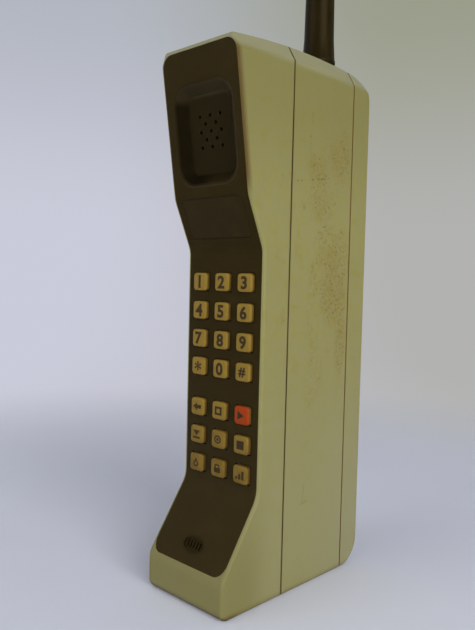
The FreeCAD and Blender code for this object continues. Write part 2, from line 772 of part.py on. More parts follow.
def make_display_module():
    """Small tilted board with a row of digits under magnifying bubbles."""
    blocks = []
    for width, height, front, back in (DIGIT_BOARD, DIGIT_CARRIER, DIGIT_BAR):
        blocks.append(slab(width, height, 0, -back, -front))
    lens = tapered(LENS_FOOT, LENS_CREST, -DIGIT_BAR[2] - TOUCH, -LENS_TOP)
    for index in range(DIGITS):
        blocks.append(placed(lens, shifted((index - (DIGITS - 1) / 2) * DIGIT_PITCH, 0)))
    return placed(fused(blocks), neck_frame())


def make_speaker():
    """Stepped round earpiece capsule with a terminal strip."""
    front = -EAR_DEPTH - EAR_WALL - RING_THICK
    back = front - SPEAKER_THICK
    basket = local_post(SPEAKER_RADIUS, back, front, CAPSULE_SIDES)
    magnet = local_post(MAGNET_RADIUS, back - MAGNET_THICK, back, CAPSULE_SIDES)
    terminal = placed(slab(*TERMINAL_SIZE, 0, back - RING_THICK, back), shifted(0, -TERMINAL_DROP))
    return placed(fused([basket, magnet, terminal]), ear_frame().multiply(shifted(0, SOUND_RISE)))


def make_speaker_ring():
    """Soft sealing ring between the dish and the capsule."""
    front = -EAR_DEPTH - EAR_WALL
    outer, inner = RING_RADII
    ring = local_post(outer, front - RING_THICK, front, CAPSULE_SIDES)
    ring = ring.cut(local_post(inner, front - RING_THICK - OVER, front + OVER, CAPSULE_SIDES))
    return placed(ring, ear_frame().multiply(shifted(0, SOUND_RISE)))


def make_microphone():
    """Round capsule with two solder pins."""
    can = local_post(MIC_RADIUS, -BODY_WALL - MIC_BACK, -BODY_WALL - MIC_BACK + MIC_LENGTH, CAPSULE_SIDES)
    pin = local_post(MIC_PIN, -BODY_WALL - MIC_PIN_BACK, -BODY_WALL - MIC_BACK + TOUCH)
    pins = [placed(pin, shifted(side * MIC_PIN_X, 0)) for side in (-1, 1)]
    return placed(fused([can] + pins), mic_frame())


def make_mic_boot():
    """Rubber boot that holds the microphone capsule in its collar, with a spout to the slots."""
    outer = local_post(BOOT_RADIUS, -BODY_WALL - BOOT_LENGTH, -BODY_WALL)
    bore = local_post(MIC_RADIUS, -BODY_WALL - BOOT_LENGTH - OVER, -BODY_WALL, CAPSULE_SIDES)
    spout = local_post(SPOUT_RADIUS, -BODY_WALL - TOUCH, -BODY_WALL + SPOUT_LENGTH)
    spout = spout.cut(local_post(SPOUT_BORE, -BODY_WALL - OVER, OVER))
    return placed(fused([outer.cut(bore), spout]), mic_frame())


def make_key():
    """One key in local axes: rounded cap with a bevelled crown, running down to a retaining flange."""
    cap = bevelled_slab(KEY_WIDTH, KEY_HEIGHT, KEY_ROUND, -BODY_WALL, KEY_PROUD)
    rim = [edge for edge in cap.Edges if abs(edge.BoundBox.ZMin - KEY_PROUD) < NEAR]
    cap = cap.makeChamfer(KEY_EDGE, rim)
    flange_size = (KEY_WIDTH + 2 * FLANGE_LIP, KEY_HEIGHT + 2 * FLANGE_LIP)
    return fused([cap, slab(*flange_size, 0, -BODY_WALL - FLANGE_THICK, -BODY_WALL)])


def make_keypad_mat():
    """Rubber sheet with one dome behind each key."""
    width = 2 * (PAD_BOARD_HALF - MAT_MARGIN)
    height = PAD_BOARD_HEAD - PAD_BOARD_FOOT - MAT_MARGIN
    sheet = placed(slab(width, height, 0, -MAT_BACK, -MAT_FRONT), pad_frame())
    dome = tapered((DOME_FOOT, DOME_FOOT, 0), (DOME_CREST, DOME_CREST, 0), -MAT_FRONT - TOUCH, -DOME_TOP)
    domes = [placed(dome, front_frame(x, KEYPAD_Y, z, 0)) for _, x, z in key_spots()]
    holes = posts_along_y(PAD_BOSS + KEY_PLAY, mirrored_spots(PAD_SCREW_X, PAD_SCREW_ROWS), KEYPAD_Y, 0)
    return fused([sheet] + domes).cut(holes)


def make_keypad_board():
    """Circuit board behind the mat, drilled for its screws."""
    height = PAD_BOARD_HEAD - PAD_BOARD_FOOT
    board = placed(slab(2 * PAD_BOARD_HALF, height, 0, -MAT_BACK - BOARD_THICK, -MAT_BACK), pad_frame())
    holes = posts_along_y(PAD_SHANK + SCREW_PLAY, mirrored_spots(PAD_SCREW_X, PAD_SCREW_ROWS), KEYPAD_Y, 0)
    return board.cut(holes)


def make_screw(head, shank_radius, shank_length):
    """A slotted screw along +Y, head at the origin and shank towards -Y; the head is (radius, height)."""
    radius, height = head
    cap = flat_post(radius, Vector(0, 0, 0), Vector(0, height, 0))
    slot = box((-radius, radius), (height / 2, height + OVER), (-SEAM_GROOVE, SEAM_GROOVE))
    shank = flat_post(shank_radius, Vector(0, -shank_length, 0), Vector(0, 0, 0))
    return fused([cap.cut(slot), shank])


def make_board(front_y, chip_spots, chip_height):
    """A main board cut back round the lower screw posts, with its chips on the front and four screw holes."""
    plate = box((-BOARD_HALF, BOARD_HALF), (front_y, front_y + BOARD_THICK), (BOARD_FOOT, BOARD_HEAD))
    notch_x = SCREW_X - BOSS_RADIUS - BOARD_CLEAR
    notch_z = SCREW_ROWS[0] + BOSS_RADIUS + BOARD_CLEAR
    corners = [box(sorted((side * notch_x, side * FAR)), (-FAR, FAR), (-FAR, notch_z)) for side in (-1, 1)]
    chips = []
    for x, z, width, height in chip_spots:
        chip_x = (x - width / 2, x + width / 2)
        chip_z = (z - height / 2, z + height / 2)
        chips.append(box(chip_x, (front_y - chip_height, front_y + CHIP_SEAT), chip_z))
    posts = mirrored_spots(POST_X, POST_ROWS)
    holes = posts_along_y(POST_HOLE, posts, front_y - OVER, front_y + BOARD_THICK + OVER)
    return fused([plate.cut(corners)] + chips).cut(holes)


def make_shield_can():
    """Folded metal screen over the radio stages, with vent slots and inner fences."""
    base = RADIO_Y + BOARD_THICK
    crest = base + CAN_HEIGHT
    inner = CAN_HALF - CAN_SKIN
    can = box((-CAN_HALF, CAN_HALF), (base, crest), (CAN_FENCES[0], CAN_FENCES[-1]))
    rooms = []
    for foot, head in zip(CAN_FENCES[:-1], CAN_FENCES[1:]):
        room_z = (foot + CAN_SKIN, head - CAN_SKIN / 2)
        rooms.append(box((-inner, inner), (base - OVER, crest - CAN_SKIN), room_z))
    vents = []
    for row in range(VENTS):
        foot = VENT_FOOT_Z + row * VENT_PITCH
        vents.append(box((-VENT_HALF, VENT_HALF), (crest - OVER, crest + OVER), (foot, foot + VENT_HEIGHT)))
    return can.cut(rooms + vents)


def make_duplexer():
    """Ceramic antenna filter: a block with a row of resonator holes."""
    base = RADIO_Y + BOARD_THICK
    block = box((-FILTER_HALF, FILTER_HALF), (base, base + FILTER_DEPTH), FILTER_Z)
    holes = []
    for index in range(RESONATORS):
        x = (index - (RESONATORS - 1) / 2) * RESONATOR_PITCH
        foot = Vector(x, base + FILTER_DEPTH / 2, RESONATOR_FOOT_Z)
        holes.append(flat_post(RESONATOR_RADIUS, foot, Vector(foot.x, foot.y, FILTER_Z[1] + OVER)))
    return block.cut(holes)


def make_ringer():
    """Round sounder on the front of the logic board."""
    front = Vector(0, LOGIC_Y - RINGER_THICK, RINGER_Z)
    radius, depth = RINGER_HOLE
    drum = flat_post(RINGER_RADIUS, front, Vector(0, LOGIC_Y, RINGER_Z), CAPSULE_SIDES)
    return drum.cut(flat_post(radius, front - Y_AXIS * OVER, front + Y_AXIS * depth))


def folded_strip(points_out, points_in, half_width, x):
    """A strip bent round an arc: a line, the arc and a line on each of its two sides."""
    edges = []
    for run in (points_out, points_in):
        edges.append(Part.makeLine(run[0], run[1]))
        edges.append(Part.Arc(run[1], run[2], run[3]).toShape())
        edges.append(Part.makeLine(run[3], run[4]))
    edges.insert(3, Part.makeLine(points_out[-1], points_in[0]))
    edges.append(Part.makeLine(points_in[-1], points_out[0]))
    strip = Part.Face(Part.Wire(edges)).extrude(Vector(2 * half_width, 0, 0))
    strip.translate(Vector(x - half_width, 0, 0))
    return strip


def make_ribbon_cable():
    """Flat cable looped between the keypad board and the logic board."""
    start_y = KEYPAD_Y + MAT_BACK + BOARD_THICK
    middle_y = (start_y + LOGIC_Y) / 2
    crest_z = CABLE_BEND_Z + middle_y - start_y
    outer = [
        Vector(0, start_y, CABLE_FOOT_Z),
        Vector(0, start_y, CABLE_BEND_Z),
        Vector(0, middle_y, crest_z),
        Vector(0, LOGIC_Y, CABLE_BEND_Z),
        Vector(0, LOGIC_Y, CABLE_FOOT_Z),
    ]
    inner = [
        Vector(0, LOGIC_Y - CABLE_THICK, CABLE_FOOT_Z),
        Vector(0, LOGIC_Y - CABLE_THICK, CABLE_BEND_Z),
        Vector(0, middle_y, crest_z - CABLE_THICK),
        Vector(0, start_y + CABLE_THICK, CABLE_BEND_Z),
        Vector(0, start_y + CABLE_THICK, CABLE_FOOT_Z),
    ]
    return folded_strip(outer, inner, CABLE_HALF, 0)


def make_phone_contacts():
    """Three contact pins with collars, in the wall behind the pack."""
    collar_radius, collar_length = PIN_COLLAR
    seat = SEAM_BACK - REAR_WALL
    barrel = flat_post(PIN_RADIUS, Vector(0, seat, 0), Vector(0, SEAM_BACK + PIN_TIP, 0))
    collar = flat_post(collar_radius, Vector(0, seat - collar_length, 0), Vector(0, seat, 0))
    return copies(fused([barrel, collar]), [(x, 0, CONTACT_Z) for x in CONTACT_COLUMNS])


def on_antenna(z):
    """A point on the antenna's axis."""
    return Vector(ANTENNA_X, ANTENNA_Y, z)


def make_antenna_socket():
    """Brass bush with a nut under the roof and a bore for the stud."""
    bush = flat_post(BUSH_RADIUS, on_antenna(BUSH_Z[0]), on_antenna(BUSH_Z[1]))
    nut = bevelled_slab(NUT_SIZE, NUT_SIZE, NUT_CUT, *NUT_Z)
    nut.translate(on_antenna(0))
    bore = round_post(STUD_RADIUS + THREAD_PLAY, on_antenna(NUT_Z[0] - OVER), on_antenna(BUSH_Z[1] + OVER))
    return fused([bush, nut]).cut(bore)


def make_antenna_core():
    """Metal core: stud, flange and the radiating rod."""
    stud = round_post(STUD_RADIUS, on_antenna(STUD_FOOT_Z), on_antenna(ANTENNA_SEAT_Z + OVER))
    radius, thickness = CORE_FLANGE
    flange = flat_post(radius, on_antenna(ANTENNA_SEAT_Z), on_antenna(ANTENNA_SEAT_Z + thickness))
    rod = flat_post(ROD_RADIUS, on_antenna(ANTENNA_SEAT_Z + OVER), on_antenna(ANTENNA_TIP_Z - ROD_END))
    return fused([stud, flange, rod])


def make_antenna_sheath(core):
    """Thick rubber sheath: flared foot, long taper, rounded tip."""
    collar_radius, collar_height = SHEATH_COLLAR
    neck_radius, neck_height = SHEATH_NECK
    corners = (
        (0, ANTENNA_SEAT_Z, 0),
        (SHEATH_FOOT, ANTENNA_SEAT_Z, 0),
        (collar_radius, ANTENNA_SEAT_Z + collar_height, 0),
        (neck_radius, ANTENNA_SEAT_Z + neck_height, 0),
        (SHEATH_TIP, ANTENNA_TIP_Z, SHEATH_TIP_ROUND),
        (0, ANTENNA_TIP_Z, 0),
    )
    face = Part.Face(rounded_outline(corners, in_front_plane(0)))
    sheath = face.revolve(Vector(0, 0, 0), Z_AXIS, 360)
    sheath.translate(on_antenna(0))
    return sheath.cut(core)


def make_battery_shell(body):
    """Beige back slab with rounded shoulders, hollow for the cells."""
    front = SEAM_BACK + PACK_GAP
    hollow = side_prism(PACK_WALL, HALF_WIDTH - PACK_WALL).cut(bevel_tools(PACK_BEVEL_WALL))
    return between(body, front, FAR).cut([
        between(hollow, front - OVER, FAR),
        cover_plate(body, front - OVER, front + COVER_THICK, 0),
        seam_groove(body, SEAM_BACK, front - OVER, front + SEAM_GROOVE),
    ])


def make_battery_cover(body):
    """Inner cover of the pack with two locating tabs, the latch slot and seats for the contacts."""
    front = SEAM_BACK + PACK_GAP
    plate = cover_plate(body, front, front + COVER_THICK, COVER_PLAY)
    tabs = [tab_block(side, 0, SEAM_BACK - REAR_WALL + TAB_TIP, front + ROOT) for side in (-1, 1)]
    slot = tongue_slot(TONGUE_PLAY + LATCH_PLAY, front - OVER, front + COVER_THICK + OVER)
    seats = [contact_plate(x, CONTACT_PLAY, front - OVER) for x in CONTACT_COLUMNS]
    return fused([plate] + tabs).cut([slot] + seats)


def make_cells():
    """Twelve round cells in three columns."""
    y = SEAM_BACK + PACK_GAP + COVER_THICK + CELL_RADIUS + CELL_PLAY
    cell = local_post(CELL_RADIUS, 0, CELL_LENGTH)
    spots = [(x, y, CELL_FIRST_Z + row * CELL_PITCH_Z) for x in CELL_COLUMNS for row in range(CELL_ROWS)]
    return copies(cell, spots)


def make_latch_button():
    """Push button on the roof with the tongue that reaches into the pack."""
    cap = latch_block(LATCH_HALF, LATCH_Y, LATCH_Z)
    cap = cap.makeFillet(LATCH_ROUND, [edge for edge in cap.Edges if edge.BoundBox.ZMin > LATCH_Z[1] - TOUCH])
    ridges = []
    for step in range(RIDGES):
        ridges.append(latch_block(RIDGE_HALF, [y + step for y in RIDGE_Y], RIDGE_Z))
    stem = latch_block(STEM_HALF, STEM_Y, (STEM_FOOT_Z, LATCH_Z[0] + ROOT))
    flange = latch_block(LATCH_FLANGE_HALF, LATCH_FLANGE_Y, LATCH_FLANGE_Z)
    tongue_top = STEM_FOOT_Z + TONGUE_THICK
    tongue = latch_block(STEM_HALF, TONGUE_Y, (STEM_FOOT_Z, tongue_top))
    lip_y = (TONGUE_Y[1] - TONGUE_LIP[0], TONGUE_Y[1])
    lip = latch_block(STEM_HALF, lip_y, (tongue_top - ROOT, tongue_top + TONGUE_LIP[1]))
    return fused([cap, stem, flange, tongue, lip] + ridges)


def make_latch_spring():
    """Leaf spring: a folded strip between the shelf and the button's stem."""
    front, back = SPRING_Y
    low, high = SHELF_Z[1], STEM_FOOT_Z
    middle = (low + high) / 2
    belly = front - SPRING_BELLY
    outer = [
        Vector(0, back, low),
        Vector(0, front, low),
        Vector(0, belly, middle),
        Vector(0, front, high),
        Vector(0, back, high),
    ]
    inner = [
        Vector(0, back, high - SPRING_THICK),
        Vector(0, front, high - SPRING_THICK),
        Vector(0, belly + SPRING_THICK, middle),
        Vector(0, front, low + SPRING_THICK),
        Vector(0, back, low + SPRING_THICK),
    ]
    return folded_strip(outer, inner, SPRING_HALF, LATCH_X)


def main():
    """Build and write every sub-part."""
    os.makedirs("parts", exist_ok=True)
    body = make_body()
    keep("front_housing", make_front_housing(body))
    keep("rear_housing", make_rear_housing(body))
    keep("face_panel", make_face_panel())
    keep("display_window", make_window())
    keep("display_module", make_display_module())
    keep("earpiece_speaker", make_speaker())
    keep("speaker_ring", make_speaker_ring())
    keep("microphone", make_microphone())
    keep("microphone_boot", make_mic_boot())
    keep("keypad_mat", make_keypad_mat())
    keep("keypad_board", make_keypad_board())
    key = make_key()
    for name, x, z in key_spots():
        keep(name, placed(key, front_frame(x, KEYPAD_Y, z, 0)))
    keep("logic_board", make_board(LOGIC_Y, LOGIC_CHIPS, LOGIC_CHIP_HEIGHT))
    keep("radio_board", make_board(RADIO_Y, RADIO_CHIPS, RADIO_CHIP_HEIGHT))
    keep("shield_can", make_shield_can())
    keep("duplexer", make_duplexer())
    keep("ringer", make_ringer())
    keep("ribbon_cable", make_ribbon_cable())
    pad_back = KEYPAD_Y + MAT_BACK + BOARD_THICK
    pad_spots = [(x, pad_back, z) for x, z in mirrored_spots(PAD_SCREW_X, PAD_SCREW_ROWS)]
    keep("board_screws", copies(make_screw(PAD_HEAD, PAD_SHANK, BOARD_THICK + PAD_GRIP), pad_spots))
    shell_spots = [(x, SEAM_BACK - SCREW_SINK, z) for x, z in mirrored_spots(SCREW_X, SCREW_ROWS)]
    keep("housing_screws", copies(make_screw(SCREW_HEAD, SCREW_SHANK, SCREW_LENGTH), shell_spots))
    spacer = flat_post(POST_RADIUS, Vector(0, 0, 0), Vector(0, RADIO_Y - LOGIC_Y - BOARD_THICK, 0))
    spacer_spots = [(x, LOGIC_Y + BOARD_THICK, z) for x, z in mirrored_spots(POST_X, POST_ROWS)]
    keep("board_spacers", copies(spacer, spacer_spots))
    keep("phone_contacts", make_phone_contacts())
    keep("antenna_socket", make_antenna_socket())
    core = make_antenna_core()
    keep("antenna_core", core)
    keep("antenna_sheath", make_antenna_sheath(core))
    keep("battery_shell", make_battery_shell(body))
    keep("battery_cover", make_battery_cover(body))
    front = SEAM_BACK + PACK_GAP
    keep("battery_contacts", Part.makeCompound([contact_plate(x, 0, front) for x in CONTACT_COLUMNS]))
    keep("battery_cells", make_cells())
    keep("latch_button", make_latch_button())
    keep("latch_spring", make_latch_spring())


main()
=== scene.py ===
"""Looks of a 1980s handheld cellular telephone.

It has a yellowed shell, a brown face panel, amber keys and a rubber antenna. Sizes are in metres, in the
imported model's own axes: X runs across the front, the front faces -Y and Z is up.
"""

import math

import bpy
from bpy.props import FloatProperty, FloatVectorProperty, IntProperty, PointerProperty
from mathutils import Matrix, Vector


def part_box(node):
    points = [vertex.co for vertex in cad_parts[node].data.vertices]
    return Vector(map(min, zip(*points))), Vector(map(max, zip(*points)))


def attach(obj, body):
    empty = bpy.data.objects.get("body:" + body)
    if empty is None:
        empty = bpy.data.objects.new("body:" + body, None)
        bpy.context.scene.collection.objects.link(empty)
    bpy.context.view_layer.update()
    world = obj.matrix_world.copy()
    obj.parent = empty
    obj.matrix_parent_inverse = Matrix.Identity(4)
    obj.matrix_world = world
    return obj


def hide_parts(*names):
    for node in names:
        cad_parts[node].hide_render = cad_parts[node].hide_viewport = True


bl_info = {
    "name": "Brick handset looks",
    "version": (1, 0, 0),
    "blender": (4, 5, 0),
    "location": "View3D > Sidebar > Handset",
    "description": "Finishes, key caps, legends, antenna and studio for a 1980s handheld telephone",
    "category": "Object",
}

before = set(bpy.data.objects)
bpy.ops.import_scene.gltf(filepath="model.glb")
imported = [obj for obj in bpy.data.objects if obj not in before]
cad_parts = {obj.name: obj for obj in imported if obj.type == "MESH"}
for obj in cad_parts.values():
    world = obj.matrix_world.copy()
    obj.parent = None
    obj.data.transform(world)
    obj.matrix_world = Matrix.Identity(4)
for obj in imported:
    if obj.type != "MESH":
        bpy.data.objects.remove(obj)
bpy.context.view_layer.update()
MM = 0.001
MERGE_DISTANCE = 0.00002 * MM

# Places on the shell in millimetres, the unit of the patterns
RIGHT_SIDE = (21.9, 22.15)
FRONT_SEAM = -10.0
REAR_SEAM = 31.15

# Key caps: segments of a rounding, how squarely a face looks along the depth to be picked, and the crown
# in steps of a share of the last width and a share of the rise
ROUND_SEGMENTS = 5
FACING = 0.99
CROWN_STEPS = ((0.86, 0.42), (0.78, 0.30), (0.68, 0.18), (0.5, 0.10))

# Prints before they are fitted to a key: how far a letter's strokes are widened, which a star bears
# less of, and how thick letters and figures are
STROKE_GAIN = 0.036
STAR_STROKE_GAIN = 0.015
LETTER_DEPTH = 0.05
LETTER_CURVE_STEPS = 4
FIGURE_DEPTH = 0.1

# Antenna: chamfer and height of the foot, level and inset of its shoulder, smallest radius at the tip
FOOT_EDGE = 0.5 * MM
FOOT_HEIGHT = 1.6 * MM
SHOULDER_LEVEL = 2.2 * MM
SHOULDER_INSET = 0.25 * MM
TIP_END = 0.05 * MM
TAPER_STEPS = 8

# Stage in metres, sensor in millimetres; a lamp has a name, its power's property, a size and a place
BOWL_SIDES = 96
WALL_HEIGHT = 0.6
LAMPS = (
    ("main_lamp", "key_power", 0.8, (1.02, -0.34, 0.40)),
    ("fill_lamp", "fill_power", 0.7, (-0.25, -0.85, 0.45)),
)
LAMP_TARGET = (0, 0, 0.12)
SKY_COLOUR = (0.94, 0.97, 1.0, 1)
NEAREST_SEEN = 0.01
SENSOR_HEIGHT = 36

DIGIT_KEYS = {
    "key_1": "1", "key_2": "2", "key_3": "3",
    "key_4": "4", "key_5": "5", "key_6": "6",
    "key_7": "7", "key_8": "8", "key_9": "9",
    "key_star": "*", "key_0": "0", "key_hash": "#",
}
RED_KEY = "key_send"

# Plain symbols as flat figures: sides, turn in degrees, middle x and y, width, height, share left open.
# A whole symbol is fitted to one height later, so its sizes only count against each other.
SYMBOLS = {
    "key_recall": ((3, 90, -0.9, 0.0, 1.8, 3.0, 0), (4, 45, 0.9, 0.0, 1.8, 1.3, 0)),
    "key_clear": ((4, 45, 0.0, 0.0, 3.0, 3.0, 0.50),),
    "key_send": ((3, -90, 0.0, 0.0, 3.0, 3.4, 0),),
    "key_store": ((3, 180, 0.0, 0.5, 3.2, 2.0, 0), (4, 45, 0.0, -1.2, 3.2, 0.7, 0)),
    "key_function": ((24, 0, 0.0, 0.0, 3.2, 3.2, 0.64), (24, 0, 0.0, 0.0, 1.2, 1.2, 0)),
    "key_end": ((4, 45, 0.0, 0.0, 2.8, 2.8, 0),),
    "key_power": ((24, 0, 0.0, -0.4, 2.8, 2.8, 0.56), (4, 45, 0.0, 1.4, 0.8, 0.8, 0)),
    "key_lock": (
        (4, 45, 0.0, -0.6, 2.8, 1.8, 0), (4, 45, -0.8, 0.7, 0.5, 0.8, 0),
        (4, 45, 0.8, 0.7, 0.5, 0.8, 0), (4, 45, 0.0, 1.35, 2.1, 0.5, 0),
    ),
    "key_volume": (
        (4, 45, -1.4, -1.1, 0.9, 1.0, 0), (4, 45, 0.0, -0.6, 0.9, 2.0, 0), (4, 45, 1.4, 0.0, 0.9, 3.2, 0),
    ),
}

# Brown marks on the right side: middle y and z, half width and half height in millimetres, and strength
SIDE_MARKS = (
    (2.4, 198.0, 0.9, 3.0, 0.95),
    (1.4, 187.0, 1.0, 6.0, 0.45),
    (7.5, 177.0, 7.0, 6.0, 0.65),
    (9.0, 163.0, 6.0, 8.0, 0.50),
    (-1.8, 161.0, 1.0, 1.4, 0.60),
    (25.5, 194.5, 3.0, 2.0, 0.45),
    (22.0, 184.0, 7.0, 10.0, 0.55),
    (24.6, 151.2, 2.2, 2.2, 0.50),
    (17.0, 140.0, 8.0, 7.0, 0.60),
    (20.0, 124.0, 9.0, 13.0, 0.80),
    (26.0, 102.0, 4.0, 13.0, 0.65),
    (-13.5, 116.0, 1.6, 4.0, 0.45),
)


class Signal:
    """A value on its way through a material; arithmetic on it adds Math nodes."""

    def __init__(self, recipe, socket):
        self.recipe = recipe
        self.socket = socket

    def joined(self, operation, first, second):
        return self.recipe.node("ShaderNodeMath", {"operation": operation}, {0: first, 1: second})

    def __add__(self, other):
        return self.joined("ADD", self, other)

    def __radd__(self, other):
        return self.joined("ADD", other, self)

    def __sub__(self, other):
        return self.joined("SUBTRACT", self, other)

    def __rsub__(self, other):
        return self.joined("SUBTRACT", other, self)

    def __mul__(self, other):
        return self.joined("MULTIPLY", self, other)

    def __rmul__(self, other):
        return self.joined("MULTIPLY", other, self)

    def __pow__(self, other):
        return self.joined("POWER", self, other)

    def __abs__(self):
        return self.joined("ABSOLUTE", self, 0.0)

    def at_most(self, other):
        return self.joined("MINIMUM", self, other)

    def at_least(self, other):
        return self.joined("MAXIMUM", self, other)


class Recipe:
    """One material: a surface shader whose colour, roughness and bump come from patterns in millimetres."""

    def __init__(self, name):
        self.material = bpy.data.materials.new(name)
        self.material.use_nodes = True
        self.tree = self.material.node_tree
        self.tree.nodes.clear()
        spot = self.node("ShaderNodeTexCoord", output="Object")
        self.spot = self.node("ShaderNodeMapping", {}, {"Vector": spot, "Scale": (1 / MM, 1 / MM, 1 / MM)})
        self.x, self.y, self.z = (
            self.node("ShaderNodeSeparateXYZ", {}, {0: self.spot}, axis) for axis in "XYZ"
        )

    def node(self, kind, settings=None, inputs=None, output=0):
        """Add any node: settings first, then values or links for its sockets."""
        made = self.tree.nodes.new(kind)
        for key, value in (settings or {}).items():
            setattr(made, key, value)
        for key, value in (inputs or {}).items():
            if isinstance(value, Signal):
                self.tree.links.new(value.socket, made.inputs[key])
            else:
                made.inputs[key].default_value = value
        return Signal(self, made.outputs[output]) if made.outputs else made

    def stretched(self, sizes):
        """The place on the surface, with the pattern drawn out by a factor along each axis."""
        scale = tuple(1 / size for size in sizes)
        return self.node("ShaderNodeMapping", {}, {"Vector": self.spot, "Scale": scale})

    def cloud(self, size, detail=2.0, rough=0.5, place=None):
        """Soft noise whose blots are about this many millimetres across."""
        inputs = {"Vector": place or self.spot, "Scale": 1 / size, "Detail": detail, "Roughness": rough}
        return self.node("ShaderNodeTexNoise", {}, inputs)

    def cells(self, size, place=None):
        """Distance to scattered points about this many millimetres apart."""
        inputs = {"Vector": place or self.spot, "Scale": 1 / size}
        return self.node("ShaderNodeTexVoronoi", {}, inputs, "Distance")

    def step(self, value, low, high):
        """Zero below low, one above high, smooth between; reversed where low is the larger."""
        inputs = {"Value": value, "From Min": low, "From Max": high}
        return self.node("ShaderNodeMapRange", {"interpolation_type": "SMOOTHSTEP"}, inputs)

    def within(self, value, low, high, soft):
        """One between low and high, fading over a soft edge."""
        return self.step(value, low - soft, low + soft) * self.step(value, high + soft, high - soft)

    def mixed(self, first, second, share):
        """One colour going over into another."""
        return self.node("ShaderNodeMix", {"data_type": "RGBA"}, {0: share, 6: first, 7: second}, 2)

    def bumped(self, height, strength, depth):
        """A normal from a height pattern; the depth is in millimetres."""
        inputs = {"Height": height, "Strength": strength, "Distance": depth * MM}
        return self.node("ShaderNodeBump", {}, inputs)

    def finish(self, colour, roughness, normal=None, **constants):
        """Close the recipe with a surface shader and return the material."""
        inputs = {"Base Color": colour, "Roughness": roughness}
        if normal:
            inputs["Normal"] = normal
        for name, value in constants.items():
            inputs[name.replace("_", " ").title().replace("Ior", "IOR")] = value
        shader = self.node("ShaderNodeBsdfPrincipled", {}, inputs)
        self.node("ShaderNodeOutputMaterial", {}, {"Surface": shader})
        return self.material


def colour_of(value):
    """A colour as the four numbers that a socket takes."""
    return (value[0], value[1], value[2], 1.0)


def scaled(value, red, green, blue):
    """A colour with its channels scaled, as the four numbers that a socket takes."""
    return (value[0] * red, value[1] * green, value[2] * blue, 1.0)


def oval(first, half_first, second, half_second):
    """A signal that is zero in the middle of an oval and one on its outline."""
    return (first * (1 / half_first)) ** 2 + (second * (1 / half_second)) ** 2


def paint(names, material):
    """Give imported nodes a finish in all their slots."""
    for name in names:
        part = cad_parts[name]
        if not part.data.materials:
            part.data.materials.append(material)
        for index in range(len(part.data.materials)):
            part.data.materials[index] = material


def deselect():
    """Leave edit mode and select nothing."""
    if bpy.context.object and bpy.context.object.mode != "OBJECT":
        bpy.ops.object.mode_set(mode="OBJECT")
    bpy.ops.object.select_all(action="DESELECT")


def choose(kind, test):
    """In edit mode, select the edges or faces whose middle and direction pass a test."""
    bpy.ops.mesh.select_mode(type=kind)
    bpy.ops.mesh.select_all(action="DESELECT")
    bpy.ops.object.mode_set(mode="OBJECT")
    mesh = bpy.context.object.data
    if kind == "EDGE":
        for edge in mesh.edges:
            first, second = (mesh.vertices[index].co for index in edge.vertices)
            edge.select = test((first + second) / 2, second - first)
    else:
        for face in mesh.polygons:
            face.select = test(face.center, face.normal)
    bpy.ops.object.mode_set(mode="EDIT")


def extrude_rings(radius, rings, middle):
    """Draw the selected disc upwards through rings, each with its level and radius."""
    level = 0.0
    for next_level, next_radius in rings:
        bpy.ops.mesh.extrude_region_move(TRANSFORM_OT_translate={"value": (0, 0, next_level - level)})
        share = next_radius / radius
        bpy.ops.transform.resize(value=(share, share, 1), center_override=middle)
        level, radius = next_level, next_radius


def close_mesh(name, body, material, angle=35.0):
    """Merge doubles, turn the faces outwards, smooth, name and hang the piece on its body."""
    piece = bpy.context.object
    if piece.mode != "EDIT":
        bpy.ops.object.mode_set(mode="EDIT")
    bpy.ops.mesh.select_all(action="SELECT")
    bpy.ops.mesh.remove_doubles(threshold=MERGE_DISTANCE)
    bpy.ops.mesh.normals_make_consistent(inside=False)
    bpy.ops.object.mode_set(mode="OBJECT")
    bpy.ops.object.transform_apply(location=True, rotation=True, scale=True)
    bpy.ops.object.shade_smooth_by_angle(angle=math.radians(angle))
    piece.name = name
    piece.data.name = name
    piece.data.materials.clear()
    piece.data.materials.append(material)
    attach(piece, body)
    return piece


